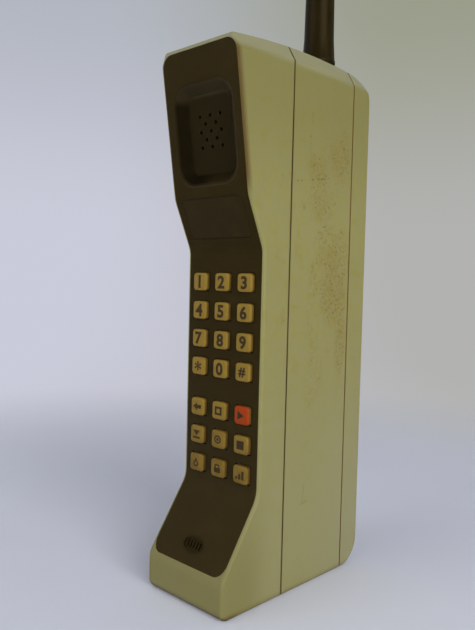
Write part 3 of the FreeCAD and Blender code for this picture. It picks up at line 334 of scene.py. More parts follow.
class ShellLook(bpy.types.PropertyGroup):
    """Colours of the yellowed shell."""

    colour: FloatVectorProperty(
        name="Shell colour", description="Sun-yellowed plastic", subtype="COLOR", size=3,
        default=(0.250, 0.224, 0.070), min=0, max=1,
    )
    # Painted light: a paler colour for the top, which faces up to the lamps
    pale: FloatVectorProperty(
        name="Lit top colour", description="Painted light on the top", subtype="COLOR", size=3,
        default=(0.262, 0.254, 0.140), min=0, max=1,
    )
    stain: FloatVectorProperty(
        name="Stain colour", description="Amber film left on the side", subtype="COLOR", size=3,
        default=(0.205, 0.150, 0.032), min=0, max=1,
    )
    residue: FloatVectorProperty(
        name="Residue colour", description="Brown specks in the film", subtype="COLOR", size=3,
        default=(0.095, 0.068, 0.018), min=0, max=1,
    )
    grime: FloatVectorProperty(
        name="Grime colour", description="Dirt in the scratches", subtype="COLOR", size=3,
        default=(0.040, 0.027, 0.009), min=0, max=1,
    )
    faded: FloatVectorProperty(
        name="Faded colour", description="Less yellowed plastic low down", subtype="COLOR", size=3,
        default=(0.262, 0.246, 0.122), min=0, max=1,
    )
    # Painted shade: brown for the ear's shaded front rim and for the contact shadow at the foot
    edge_shade: FloatVectorProperty(
        name="Edge shade colour", description="Painted shade on the ear's edge and the foot", subtype="COLOR", size=3,
        default=(0.100, 0.062, 0.008), min=0, max=1,
    )
    front_seam: FloatVectorProperty(
        name="Front seam colour", description="Dirt in the front seam", subtype="COLOR", size=3,
        default=(0.075, 0.046, 0.012), min=0, max=1,
    )
    rear_seam: FloatVectorProperty(
        name="Rear seam colour", description="Browned plastic at the rear seam", subtype="COLOR", size=3,
        default=(0.20, 0.11, 0.035), min=0, max=1,
    )
    ear_slope: FloatProperty(
        name="Ear slope", description="How the ear section leans forward", default=0.1512,
    )
    ear_offset: FloatProperty(
        name="Ear offset", description="Places the ear section's front, in millimetres", default=9.35,
    )
    grain: FloatProperty(
        name="Grain", description="Size of the moulded texture, in millimetres", default=0.55, min=0.1,
    )


class PanelLook(bpy.types.PropertyGroup):
    """Colours of the face panel and the window; places on it are in millimetres, like the patterns."""

    colour: FloatVectorProperty(
        name="Panel colour", description="Dark brown inlay", subtype="COLOR", size=3,
        default=(0.0245, 0.0158, 0.0030), min=0, max=1,
    )
    # The dust colour is also used to paint light on the dish's top wall and rim
    dust: FloatVectorProperty(
        name="Dust colour", description="Thin dust on the panel", subtype="COLOR", size=3,
        default=(0.070, 0.052, 0.024), min=0, max=1,
    )
    deep: FloatVectorProperty(
        name="Shaded colour", description="Panel in the dish and at the microphone", subtype="COLOR", size=3,
        default=(0.0135, 0.0090, 0.0016), min=0, max=1,
    )
    # Painted shade: near black for the dish's left wall, which the lamps would light
    left_wall_shade: FloatVectorProperty(
        name="Left wall shade colour", description="Painted shade on the dish's left wall", subtype="COLOR", size=3,
        default=(0.0060, 0.0040, 0.0009), min=0, max=1,
    )
    smoke: FloatVectorProperty(
        name="Window colour", description="Smoked display window", subtype="COLOR", size=3,
        default=(0.0235, 0.0150, 0.0030), min=0, max=1,
    )
    sheen: FloatProperty(
        name="Sheen", description="Strength of the panel's reflection", subtype="FACTOR",
        default=0.06, min=0, max=1,
    )
    sheen_tint: FloatVectorProperty(
        name="Sheen tint", description="Tint of the panel's reflection", subtype="COLOR", size=3,
        default=(1.0, 0.76, 0.42), min=0, max=1,
    )
    dish_middle: FloatProperty(name="Dish middle", description="Height of the dish's middle", default=187.6)
    dish_half_width: FloatProperty(
        name="Dish half width", description="Half the mouth's width", default=16.9,
    )
    dish_half_height: FloatProperty(
        name="Dish half height", description="Half the mouth's height", default=20.0,
    )
    dish_corner: FloatProperty(name="Dish corner", description="Corner radius of the mouth", default=8.5)
    mic_middle: FloatProperty(
        name="Microphone middle", description="Height of the microphone slots", default=23.3,
    )
    window_middle: FloatProperty(
        name="Window middle", description="Height of the window's middle", default=155.15,
    )


class KeyLook(bpy.types.PropertyGroup):
    """Sizes and colours of the keys."""

    colour: FloatVectorProperty(
        name="Key colour", description="Amber keys", subtype="COLOR", size=3,
        default=(0.245, 0.157, 0.024), min=0, max=1,
    )
    dirt: FloatVectorProperty(
        name="Key dirt", description="Handling dirt on the keys", subtype="COLOR", size=3,
        default=(0.118, 0.066, 0.014), min=0, max=1,
    )
    red: FloatVectorProperty(
        name="Red key", description="The one red key", subtype="COLOR", size=3,
        default=(0.34, 0.034, 0.003), min=0, max=1,
    )
    ink: FloatVectorProperty(
        name="Ink", description="Legends on the keys", subtype="COLOR", size=3,
        default=(0.036, 0.020, 0.005), min=0, max=1,
    )
    lip: FloatProperty(
        name="Flange lip", description="How far the retaining flange stands out", unit="LENGTH",
        default=0.7 * MM,
    )
    flange: FloatProperty(
        name="Flange", description="Thickness of the retaining flange", unit="LENGTH", default=0.8 * MM,
    )
    corner: FloatProperty(
        name="Corner radius", description="Corners of a key seen from the front", unit="LENGTH",
        default=1.5 * MM,
    )
    rim: FloatProperty(
        name="Rim radius", description="Rounding round the key's face", unit="LENGTH", default=0.75 * MM,
    )
    crown: FloatProperty(
        name="Crown", description="How far the middle of the face stands proud", unit="LENGTH",
        default=0.14 * MM,
    )
    digit_height: FloatProperty(
        name="Digit height", description="Height of the digits", unit="LENGTH", default=5.3 * MM,
    )
    sign_height: FloatProperty(
        name="Sign height", description="Height of the star and the hash", unit="LENGTH", default=4.0 * MM,
    )
    symbol_height: FloatProperty(
        name="Symbol height", description="Height of the plain symbols", unit="LENGTH", default=3.5 * MM,
    )
    print_width: FloatProperty(
        name="Print width", description="Width of the prints over their natural width", default=1.12,
    )
    print_depth: FloatProperty(
        name="Print depth", description="How far the legends stand proud", unit="LENGTH", default=0.03 * MM,
    )


class AntennaLook(bpy.types.PropertyGroup):
    """Sizes and colours of the rubber antenna."""

    colour: FloatVectorProperty(
        name="Rubber colour", description="Aged black rubber", subtype="COLOR", size=3,
        default=(0.0100, 0.0064, 0.0008), min=0, max=1,
    )
    foot_radius: FloatProperty(
        name="Foot radius", description="Radius of the flared foot", unit="LENGTH", default=7.25 * MM,
    )
    neck_radius: FloatProperty(
        name="Neck radius", description="Radius above the flare", unit="LENGTH", default=6.45 * MM,
    )
    tip_radius: FloatProperty(
        name="Tip radius", description="Radius just under the rounded tip", unit="LENGTH", default=5.2 * MM,
    )
    flare: FloatProperty(name="Flare", description="Height of the flare", unit="LENGTH", default=11.0 * MM)
    sides: IntProperty(name="Sides", description="Segments round the antenna", default=64, min=16)


class StageLook(bpy.types.PropertyGroup):
    """Camera, floor and lamps."""

    lens: FloatProperty(
        name="Lens", description="Focal length on a 36 mm tall frame", unit="CAMERA", default=38.72,
    )
    azimuth: FloatProperty(
        name="Azimuth", description="Camera turned round the handset", subtype="ANGLE",
        default=math.radians(44.067),
    )
    elevation: FloatProperty(
        name="Elevation", description="Camera looking down", subtype="ANGLE", default=math.radians(2.95),
    )
    roll: FloatProperty(
        name="Roll", description="Camera tilted", subtype="ANGLE", default=math.radians(1.352),
    )
    camera_place: FloatVectorProperty(
        name="Camera place", description="Where the camera stands", subtype="TRANSLATION", size=3,
        default=(0.19819, -0.22140, 0.13039),
    )
    floor: FloatVectorProperty(
        name="Floor colour", description="Floor under the handset", subtype="COLOR", size=3,
        default=(0.74, 0.755, 0.83), min=0, max=1,
    )
    left_wall: FloatVectorProperty(
        name="Left backdrop", description="Backdrop on the left of the picture", subtype="COLOR", size=3,
        default=(0.590, 0.598, 0.700), min=0, max=1,
    )
    right_wall: FloatVectorProperty(
        name="Right backdrop", description="Backdrop on the right of the picture", subtype="COLOR", size=3,
        default=(0.445, 0.445, 0.435), min=0, max=1,
    )
    left_high: FloatVectorProperty(
        name="Left top", description="Top of the backdrop on the left", subtype="COLOR", size=3,
        default=(0.440, 0.465, 0.520), min=0, max=1,
    )
    right_high: FloatVectorProperty(
        name="Right top", description="Top of the backdrop on the right", subtype="COLOR", size=3,
        default=(0.325, 0.337, 0.255), min=0, max=1,
    )
    bowl_radius: FloatProperty(
        name="Backdrop radius", description="Where the floor turns up", unit="LENGTH", default=0.75,
    )
    turn_radius: FloatProperty(
        name="Turn radius", description="How softly the floor turns up", unit="LENGTH", default=0.45,
    )
    key_power: FloatProperty(
        name="Main lamp", description="Large soft lamp on the right", unit="POWER", default=12.6,
    )
    fill_power: FloatProperty(
        name="Fill lamp", description="Soft lamp from the front", unit="POWER", default=2.4,
    )
    sky: FloatProperty(name="Sky", description="Even light from all sides", default=0.30)


def aged_and_shaded_shell(mix, look):
    """The bare shell: mottled, faded low down, painted shade at the ear and the chin, painted light on top.
    """
    base = colour_of(look.colour)
    grey = scaled(base, 0.97, 1.01, 1.35)
    olive = scaled(base, 0.95, 0.90, 0.66)
    # A darker copy of the shell colour, for painted shade
    dull = scaled(base, 0.72, 0.71, 0.66)
    colour = mix.mixed(base, grey, mix.step(mix.cloud(4.2, 5, 0.7), 0.42, 0.62) * 0.65)
    colour = mix.mixed(colour, olive, mix.step(mix.cloud(7, 5, 0.7), 0.50, 0.70) * 0.65)
    faded = mix.step(mix.z, 125, 20) * (mix.step(mix.y, 0, 40) * 0.45 + 0.45)
    colour = mix.mixed(colour, colour_of(look.faded), faded)
    # Painted shade: darker towards the top of the ear section and on the chin's front face
    ear = mix.step(mix.z, 150, 212)
    chin = mix.step(mix.y, -14, -34) * mix.step(mix.z, 70, 10)
    colour = mix.mixed(colour, dull, ear.at_least(chin) * 0.7)
    # Painted light: the top is paler where it faces up
    return mix.mixed(colour, colour_of(look.pale), mix.step(mix.z, 215.5, 219) * 0.85)


def side_film(mix, look, side, colour):
    """Amber film with brown specks on the right side: a broad zone and single marks."""
    stain = colour_of(look.stain)
    residue = colour_of(look.residue)
    fine = mix.step(mix.cloud(1.5, 5, 0.7), 0.44, 0.62)
    dots = mix.step(mix.cells(2.1), 0.26, 0.12)
    zone = side * mix.within(mix.y, 3.0, 30.0, 3.0) * mix.within(mix.z, 78, 192, 12)
    broad = mix.step(mix.cloud(17, 3, 0.6, mix.stretched((1, 1, 1.8))), 0.44, 0.60)
    colour = mix.mixed(colour, stain, zone * broad * fine * 0.6)
    colour = mix.mixed(colour, residue, zone * broad * dots * 0.6)
    for y, z, half_y, half_z, strength in SIDE_MARKS:
        mark = side * mix.step(oval(mix.y - y, half_y, mix.z - z, half_z), 1.7, 0.1) * strength
        colour = mix.mixed(colour, stain, mark * (fine * 0.55 + 0.35))
        colour = mix.mixed(colour, residue, mark * dots * 0.9)
    return colour


def side_scratches(mix, look, side, colour):
    """A dotted line and an L-shaped scratch on the right side, full of grime."""
    grime = colour_of(look.grime)
    line = mix.within(mix.z - mix.y * 0.16 - 172.2, -0.25, 0.25, 0.25) * mix.within(mix.y, -8, 14.5, 1.0)
    beads = mix.step(mix.cells(1.7), 0.50, 0.25)
    colour = mix.mixed(colour, grime, side * line * beads * 0.65)
    upright = mix.within(mix.y - mix.z * 0.12 + 4.4, 2.42, 2.58, 0.25) * mix.within(mix.z, 36.3, 45, 1.0)
    level = mix.within(mix.z - mix.y * 0.18, 35.9, 36.1, 0.32) * mix.within(mix.y, 0.8, 5.6, 0.8)
    return mix.mixed(colour, grime, side * upright.at_least(level) * 0.62)


def browned_seams(mix, look, colour):
    """Dirt along the two seams; at the rear one it keeps off most of the faces that mate."""
    smear = mix.cloud(6, 3, 0.6, mix.stretched((1, 1, 3))) * 0.6 + 0.5
    front = mix.step(abs(mix.y - FRONT_SEAM), 0.80, 0.24) * smear
    colour = mix.mixed(colour, colour_of(look.front_seam), front.at_most(1.0))
    outside = mix.step(abs(mix.x), 21.0, 21.8).at_least(mix.step(mix.z, 217, 219))
    rear = mix.step(abs(mix.y - REAR_SEAM), 0.75, 0.24) * smear * outside
    return mix.mixed(colour, colour_of(look.rear_seam), rear.at_most(1.0))


def shaded_edges(mix, look, colour):
    """Painted shade: brown on the ear's shaded front rim and a painted contact shadow round the foot."""
    edge_shade = colour_of(look.edge_shade)
    behind_front = mix.y + mix.z * look.ear_slope + look.ear_offset
    # Painted shade with warm reflected light on the ear section's rounded front rim
    edge = mix.step(behind_front, 2.2, 0.0) * mix.step(mix.z, 158, 172) * mix.step(mix.z, 220.0, 214.0)
    colour = mix.mixed(colour, edge_shade, edge * 0.95)
    # Painted contact shadow round the foot, mottled and strongest at the front
    foot = mix.step(mix.z, 3.2, 0.6) * (mix.cloud(5, 3) * 0.9 + mix.step(mix.y, -30, -42) * 0.6)
    return mix.mixed(colour, edge_shade, foot.at_most(0.9))


def shell_plastic(look):
    """Yellowed moulded plastic with painted light and shade, film and scratches on its side, and dirty
    seams.
    """
    mix = Recipe("shell_plastic")
    side = mix.step(mix.x, *RIGHT_SIDE)
    colour = side_film(mix, look, side, aged_and_shaded_shell(mix, look))
    colour = side_scratches(mix, look, side, colour)
    colour = browned_seams(mix, look, colour)
    colour = shaded_edges(mix, look, colour)
    grain = mix.cloud(look.grain, 2, 0.5) + mix.cloud(look.grain * 3.2, 1) * 0.4
    wear = mix.cloud(18, 4, 0.6)
    return mix.finish(colour, wear * 0.22 + 0.44, mix.bumped(grain, 0.35, 0.05), specular_ior_level=0.22)


def dish_distance(mix, look):
    """Distance out from the outline of the dish's mouth, seen from the front, in millimetres."""
    across = (abs(mix.x) - (look.dish_half_width - look.dish_corner)).at_least(0.0)
    up = (abs(mix.z - look.dish_middle) - (look.dish_half_height - look.dish_corner)).at_least(0.0)
    return (across ** 2 + up ** 2) ** 0.5 - look.dish_corner


def shaded_dish(mix, look, colour):
    """Painted shade in the dish, darkest on its left wall; painted light on its top wall and lit rim."""
    dust = colour_of(look.dust)
    distance = dish_distance(mix, look)
    rise = mix.z - look.dish_middle
    upper = mix.step(mix.z, 160, 164)
    # Painted shade: the dish darker than the panel round it
    colour = mix.mixed(colour, colour_of(look.deep), upper * mix.step(distance, 1.6, -4.2) * 0.9)
    wall = upper * mix.within(distance, -5.0, -0.6, 0.8)
    # Painted shade: the left wall near black, where the lamps would light it
    colour = mix.mixed(colour, colour_of(look.left_wall_shade), wall * mix.step(mix.x, 4, -8))
    # Painted light: the top wall faces down into shade and is lightened with the dust colour
    colour = mix.mixed(colour, dust, wall * mix.step(rise, 12, 16) * 0.40)
    # Painted highlight: a light line in the dust colour round the rim's right and lower side
    rim = upper * mix.within(distance, -0.2, 0.1, 0.35)
    lit = mix.step(mix.x * 1.2 - rise, -6, 10)
    return mix.mixed(colour, dust, rim * lit * 0.55)


def panel_plastic(look):
    """Satin dark brown plastic with thin dust and painted shade in the dish and round the microphone."""
    mix = Recipe("panel_plastic")
    dust = mix.step(mix.cloud(11, 5, 0.65), 0.46, 0.74)
    low = mix.step(mix.z, 130, 30)
    colour = mix.mixed(colour_of(look.colour), colour_of(look.dust), dust * 0.10 + low * 0.14)
    speck = mix.step(mix.cells(3.1), 0.09, 0.04) * mix.step(mix.cloud(14, 2), 0.52, 0.62)
    colour = mix.mixed(colour, colour_of(look.dust), speck * 0.5)
    colour = shaded_dish(mix, look, colour)
    # Painted shade: the panel is darker in an oval round the microphone's recess
    microphone = oval(mix.x, 6.2, mix.z - look.mic_middle, 3.0)
    colour = mix.mixed(colour, colour_of(look.deep), mix.step(microphone, 1.25, 0.7) * 0.7)
    grain = mix.cloud(0.5, 2)
    return mix.finish(
        colour, dust * 0.14 + 0.42, mix.bumped(grain, 0.22, 0.04),
        specular_ior_level=look.sheen, specular_tint=colour_of(look.sheen_tint),
    )


def window_plastic(look):
    """Smoked plastic in front of the digits, a little smoother than the panel."""
    mix = Recipe("window_plastic")
    film = mix.step(mix.cloud(6, 4), 0.45, 0.75)
    colour = mix.mixed(colour_of(look.smoke), colour_of(look.dust), film * 0.10)
    edge = mix.step(abs(mix.z - look.window_middle), 7.2, 7.9)
    colour = mix.mixed(colour, colour_of(look.deep), edge)
    return mix.finish(
        colour, film * 0.14 + 0.28,
        specular_ior_level=look.sheen * 1.5, specular_tint=colour_of(look.sheen_tint),
    )


def key_plastic(name, colour, look):
    """A key's plastic, in its own colour, with browned side walls; lower keys are dirtier."""
    mix = Recipe(name)
    lower = mix.step(mix.z, 90, 50)
    film = mix.step(mix.cloud(3.5, 4, 0.6), 0.40, 0.74)
    sunk = mix.step(mix.y, -26.35, -25.5)
    dirt = (sunk * 0.85 + lower * (film * 0.25 + 0.42) + film * 0.14).at_most(1.0)
    shade = mix.mixed(colour_of(colour), colour_of(look.dirt), dirt)
    grain = mix.cloud(0.4, 2)
    return mix.finish(
        shade, film * 0.2 + 0.36, mix.bumped(grain, 0.18, 0.03),
        specular_ior_level=0.15, specular_tint=(1.0, 0.80, 0.45, 1),
    )


def key_ink(look):
    """Dark print, slightly rubbed."""
    mix = Recipe("key_ink")
    rubbed = mix.step(mix.cloud(0.8, 3), 0.52, 0.74)
    colour = mix.mixed(colour_of(look.ink), colour_of(look.dirt), rubbed * 0.30)
    return mix.finish(colour, rubbed * 0.15 + 0.55, specular_ior_level=0.15)


def antenna_rubber(look):
    """Aged black rubber with a brown bloom and fine streaks along it."""
    mix = Recipe("antenna_rubber")
    bloom = mix.step(mix.cloud(5, 4, 0.6, mix.stretched((1, 1, 4))), 0.42, 0.72)
    warm = scaled(look.colour, 2.2, 2.0, 1.8)
    colour = mix.mixed(colour_of(look.colour), warm, bloom * 0.6)
    grain = mix.cloud(0.5, 2) + mix.cloud(1.6, 2, 0.5, mix.stretched((1, 1, 6))) * 0.6
    return mix.finish(
        colour, bloom * 0.12 + 0.38, mix.bumped(grain, 0.22, 0.05),
        specular_ior_level=0.10, specular_tint=(1.0, 0.78, 0.45, 1),
    )


def worn_metal(name, colour, roughness):
    """Bare or plated metal with drawn streaks and tarnish."""
    mix = Recipe(name)
    tarnish = mix.step(mix.cloud(7, 4, 0.6), 0.45, 0.72)
    dull = scaled(colour, 0.62, 0.58, 0.52)
    shade = mix.mixed(colour_of(colour), dull, tarnish * 0.6)
    streaks = mix.cloud(0.5, 2, 0.5, mix.stretched((1, 1, 9)))
    return mix.finish(shade, tarnish * 0.2 + roughness, mix.bumped(streaks, 0.12, 0.02), metallic=1.0)


def plain_moulding(name, colour, roughness, grain):
    """Inner mouldings, rubber and ceramic: one colour with soft variation and a fine grain."""
    mix = Recipe(name)
    cloud = mix.step(mix.cloud(8, 3), 0.40, 0.70)
    deep = scaled(colour, 0.7, 0.7, 0.7)
    shade = mix.mixed(colour_of(colour), deep, cloud)
    texture = mix.cloud(grain, 2)
    return mix.finish(shade, cloud * 0.12 + roughness, mix.bumped(texture, 0.25, 0.04))


def circuit_board():
    """Green lacquered laminate with paler tracks under the lacquer."""
    mix = Recipe("circuit_board")
    lanes = mix.node(
        "ShaderNodeTexWave", {"bands_direction": "X"},
        {"Vector": mix.spot, "Scale": 0.16, "Distortion": 1.6, "Detail": 1.0}, "Fac",
    )
    tracks = mix.step(lanes, 0.62, 0.70) * mix.step(mix.cloud(14, 1), 0.42, 0.50)
    shade = mix.mixed((0.012, 0.085, 0.030, 1), (0.055, 0.17, 0.055, 1), tracks)
    return mix.finish(shade, mix.cloud(3, 2) * 0.2 + 0.25, mix.bumped(tracks, 0.3, 0.04))


INNER_FINISHES = (
    ("circuit_board", ("keypad_board", "logic_board", "radio_board")),
    ("screen_metal", ("shield_can",)),
    ("speaker_metal", ("earpiece_speaker", "microphone")),
    ("steel", ("board_screws", "housing_screws", "board_spacers", "latch_spring")),
    ("brass", ("antenna_socket", "antenna_core", "phone_contacts", "battery_contacts")),
    ("ceramic", ("duplexer",)),
    ("soft_rubber", ("keypad_mat", "microphone_boot", "speaker_ring")),
    ("dark_plastic", ("ringer", "battery_cover")),
    ("display_parts", ("display_module",)),
    ("ribbon_film", ("ribbon_cable",)),
    ("cell_can", ("battery_cells",)),
)


def inner_materials():
    """A finish for every kind of hidden part, by name."""
    return {
        "circuit_board": circuit_board(),
        "screen_metal": worn_metal("screen_metal", (0.56, 0.55, 0.50), 0.36),
        "speaker_metal": worn_metal("speaker_metal", (0.030, 0.028, 0.024), 0.60),
        "steel": worn_metal("steel", (0.52, 0.52, 0.50), 0.30),
        "brass": worn_metal("brass", (0.62, 0.44, 0.17), 0.28),
        "cell_can": worn_metal("cell_can", (0.30, 0.33, 0.36), 0.40),
        "ceramic": plain_moulding("ceramic", (0.50, 0.47, 0.40), 0.38, 0.6),
        "soft_rubber": plain_moulding("soft_rubber", (0.045, 0.044, 0.042), 0.62, 0.5),
        "dark_plastic": plain_moulding("dark_plastic", (0.050, 0.042, 0.030), 0.48, 0.6),
        "display_parts": plain_moulding("display_parts", (0.11, 0.018, 0.012), 0.22, 0.8),
        "ribbon_film": plain_moulding("ribbon_film", (0.40, 0.20, 0.045), 0.34, 1.2),
    }


def model_key_cap(look, place_low, place_high, material):
    """One key: a block with rounded corners, rounded rim and a crowned face, running down to its flange."""
    low = Vector(place_low)
    high = Vector(place_high)
    back_y = high.y - look.flange
    size = (high.x - low.x - 2 * look.lip, back_y - low.y - look.crown, high.z - low.z - 2 * look.lip)
    middle = ((low.x + high.x) / 2, back_y - size[1] / 2, (low.z + high.z) / 2)
    deselect()
    bpy.ops.mesh.primitive_cube_add(size=1, location=middle, scale=size)
    bpy.ops.object.transform_apply(location=True, rotation=True, scale=True)
    bpy.ops.object.mode_set(mode="EDIT")
    choose("EDGE", lambda spot, along: abs(along.y) > size[1] * 0.9)
    bpy.ops.mesh.bevel(offset=look.corner, segments=ROUND_SEGMENTS, affect="EDGES")
    choose("FACE", lambda spot, normal: normal.y < -FACING)
    bpy.ops.mesh.bevel(offset=look.rim, segments=ROUND_SEGMENTS, affect="EDGES")
    choose("FACE", lambda spot, normal: normal.y < -FACING and spot.y < middle[1] - size[1] * 0.45)
    for share, rise in CROWN_STEPS:
        bpy.ops.mesh.extrude_region_move(TRANSFORM_OT_translate={"value": (0, -look.crown * rise, 0)})
        bpy.ops.transform.resize(value=(share, 1, share), center_override=middle)
    choose("FACE", lambda spot, normal: normal.y > FACING)
    wide = (high.x - low.x) / size[0]
    tall = (high.z - low.z) / size[2]
    bpy.ops.mesh.extrude_region_move(TRANSFORM_OT_translate={"value": (0, 0, 0)})
    bpy.ops.transform.resize(value=(wide, 1, tall), center_override=middle)
    bpy.ops.mesh.extrude_region_move(TRANSFORM_OT_translate={"value": (0, look.flange, 0)})
    return close_mesh("cap_pattern", "handset", material)


def copied(pattern, name, body, shift, material):
    """A copy of a finished piece with its own mesh, moved by a shift."""
    deselect()
    piece = pattern.copy()
    piece.data = pattern.data.copy()
    bpy.context.collection.objects.link(piece)
    piece.data.transform(Matrix.Translation(shift))
    piece.name = name
    piece.data.name = name
    piece.data.materials.clear()
    piece.data.materials.append(material)
    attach(piece, body)
    return piece


def key_middle(name):
    """Middle of a key's face."""
    low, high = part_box(name)
    return Vector(((low.x + high.x) / 2, low.y, (low.z + high.z) / 2))


def laid_on_key(name, height, look, material):
    """Fit the active flat mesh to a height, stand it up on a key's face and hang it there."""
    shape = bpy.context.object
    bpy.ops.object.transform_apply(location=True, rotation=True, scale=True)
    spots = [vertex.co for vertex in shape.data.vertices]
    low = Vector(min(spot[axis] for spot in spots) for axis in range(3))
    high = Vector(max(spot[axis] for spot in spots) for axis in range(3))
    size = high - low
    grow = height / size.y
    shape.data.transform(Matrix.Translation(-(low + high) / 2))
    shape.data.transform(Matrix.Diagonal((grow * look.print_width, grow, look.print_depth * 2 / size.z, 1)))
    shape.data.transform(Matrix.Rotation(math.radians(90), 4, "X"))
    shape.data.transform(Matrix.Translation(key_middle(name)))
    close_mesh(name.replace("key", "legend"), name, material, angle=20)


def digit_legend(name, letter, look, material):
    """A bold digit or sign, printed on its key."""
    deselect()
    bpy.ops.object.text_add()
    text = bpy.context.object
    text.data.body = letter
    text.data.size = 1.0
    text.data.offset = STAR_STROKE_GAIN if letter == "*" else STROKE_GAIN
    text.data.extrude = LETTER_DEPTH
    text.data.resolution_u = LETTER_CURVE_STEPS
    bpy.ops.object.convert(target="MESH")
    laid_on_key(name, look.sign_height if letter in "*#" else look.digit_height, look, material)


def flat_figure(sides, turn, x, y, width, height, hole):
    """A flat regular figure fitted to a width and height, with a share of its middle left open."""
    deselect()
    rotation = (0, 0, math.radians(turn))
    bpy.ops.mesh.primitive_circle_add(vertices=sides, radius=1, fill_type="NGON", rotation=rotation)
    bpy.ops.object.transform_apply(location=True, rotation=True, scale=True)
    figure = bpy.context.object
    middle = sum((Vector(corner) for corner in figure.bound_box), Vector()) / 8
    figure.data.transform(Matrix.Translation(-middle))
    if hole:
        bpy.ops.object.mode_set(mode="EDIT")
        bpy.ops.mesh.select_all(action="SELECT")
        bpy.ops.mesh.inset(thickness=(1 - hole) * math.cos(math.pi / sides))
        bpy.ops.mesh.delete(type="FACE")
        bpy.ops.object.mode_set(mode="OBJECT")
    figure.scale = (width / figure.dimensions.x, height / figure.dimensions.y, 1)
    figure.location = (x, y, 0)
    bpy.ops.object.transform_apply(location=True, rotation=True, scale=True)
    return figure


def symbol_legend(name, figures, look, material):
    """A plain symbol joined from flat figures, printed on its key."""
    made = [flat_figure(*figure) for figure in figures]
    deselect()
    for figure in made:
        figure.select_set(True)
    bpy.context.view_layer.objects.active = made[0]
    if len(made) > 1:
        bpy.ops.object.join()
    bpy.ops.object.mode_set(mode="EDIT")
    bpy.ops.mesh.select_all(action="SELECT")
    bpy.ops.mesh.extrude_region_move(TRANSFORM_OT_translate={"value": (0, 0, FIGURE_DEPTH)})
    bpy.ops.object.mode_set(mode="OBJECT")
    laid_on_key(name, look.symbol_height, look, material)


class HANDSET_OT_shell(bpy.types.Operator):
    """Paint the two housings, the battery pack and the latch"""

    bl_idname = "handset.shell"
    bl_label = "Shell"

    def execute(self, context):
        material = shell_plastic(context.scene.shell_look)
        paint(("front_housing", "rear_housing", "battery_shell", "latch_button"), material)
        return {"FINISHED"}


class HANDSET_OT_panel(bpy.types.Operator):
    """Paint the face panel and the display window"""

    bl_idname = "handset.panel"
    bl_label = "Face panel"

    def execute(self, context):
        look = context.scene.panel_look
        paint(("face_panel",), panel_plastic(look))
        paint(("display_window",), window_plastic(look))
        return {"FINISHED"}


class HANDSET_OT_keys(bpy.types.Operator):
    """Model one key cap and copy it to all places"""

    bl_idname = "handset.keys"
    bl_label = "Keys"

    def execute(self, context):
        look = context.scene.key_look
        amber = key_plastic("key_plastic", look.colour, look)
        red = key_plastic("send_key_plastic", look.red, look)
        first = next(iter(DIGIT_KEYS))
        pattern = model_key_cap(look, *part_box(first), amber)
        for name in (*DIGIT_KEYS, *SYMBOLS):
            is_red = name == RED_KEY
            shift = key_middle(name) - key_middle(first)
            cap = copied(pattern, name.replace("key", "cap"), name, shift, red if is_red else amber)
            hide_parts(name)
        bpy.data.objects.remove(pattern)
        return {"FINISHED"}


class HANDSET_OT_legends(bpy.types.Operator):
    """Print the digits and the plain symbols"""

    bl_idname = "handset.legends"
    bl_label = "Legends"

    def execute(self, context):
        look = context.scene.key_look
        ink = key_ink(look)
        for name, letter in DIGIT_KEYS.items():
            digit_legend(name, letter, look, ink)
        for name, figures in SYMBOLS.items():
            symbol_legend(name, figures, look, ink)
        return {"FINISHED"}


def antenna_rings(look, length):
    """Levels and radii up the antenna: foot, flare, taper and rounded tip."""
    tip = look.tip_radius
    rings = [
        (FOOT_EDGE, look.foot_radius),
        (FOOT_HEIGHT, look.foot_radius),
        (SHOULDER_LEVEL, look.foot_radius - SHOULDER_INSET),
        (look.flare, look.neck_radius),
    ]
    for step in range(1, TAPER_STEPS + 1):
        share = step / TAPER_STEPS
        level = look.flare + (length - tip - look.flare) * share
        rings.append((level, look.neck_radius + (tip - look.neck_radius) * share))
    for degrees in range(15, 91, 15):
        angle = math.radians(degrees)
        rings.append((length - tip + tip * math.sin(angle), max(tip * math.cos(angle), TIP_END)))
    return rings


class HANDSET_OT_antenna(bpy.types.Operator):
    """Model the rubber antenna over its metal core"""

    bl_idname = "handset.antenna"
    bl_label = "Antenna"

    def execute(self, context):
        look = context.scene.antenna_look
        low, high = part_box("antenna_sheath")
        axis = Vector(((low.x + high.x) / 2, (low.y + high.y) / 2, low.z))
        radius = look.foot_radius - FOOT_EDGE
        deselect()
        bpy.ops.mesh.primitive_circle_add(
            vertices=look.sides, radius=radius, fill_type="NGON", location=axis,
        )
        bpy.ops.object.mode_set(mode="EDIT")
        extrude_rings(radius, antenna_rings(look, high.z - low.z), (axis.x, axis.y, 0))
        sheath = close_mesh("sheath", "antenna", antenna_rubber(look), angle=25)
        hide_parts("antenna_sheath")
        return {"FINISHED"}


class HANDSET_OT_inner_parts(bpy.types.Operator):
    """Paint the boards, capsules, screws, contacts and cells inside"""

    bl_idname = "handset.inner_parts"
    bl_label = "Inner parts"

    def execute(self, context):
        materials = inner_materials()
        for finish, names in INNER_FINISHES:
            paint(names, materials[finish])
        return {"FINISHED"}


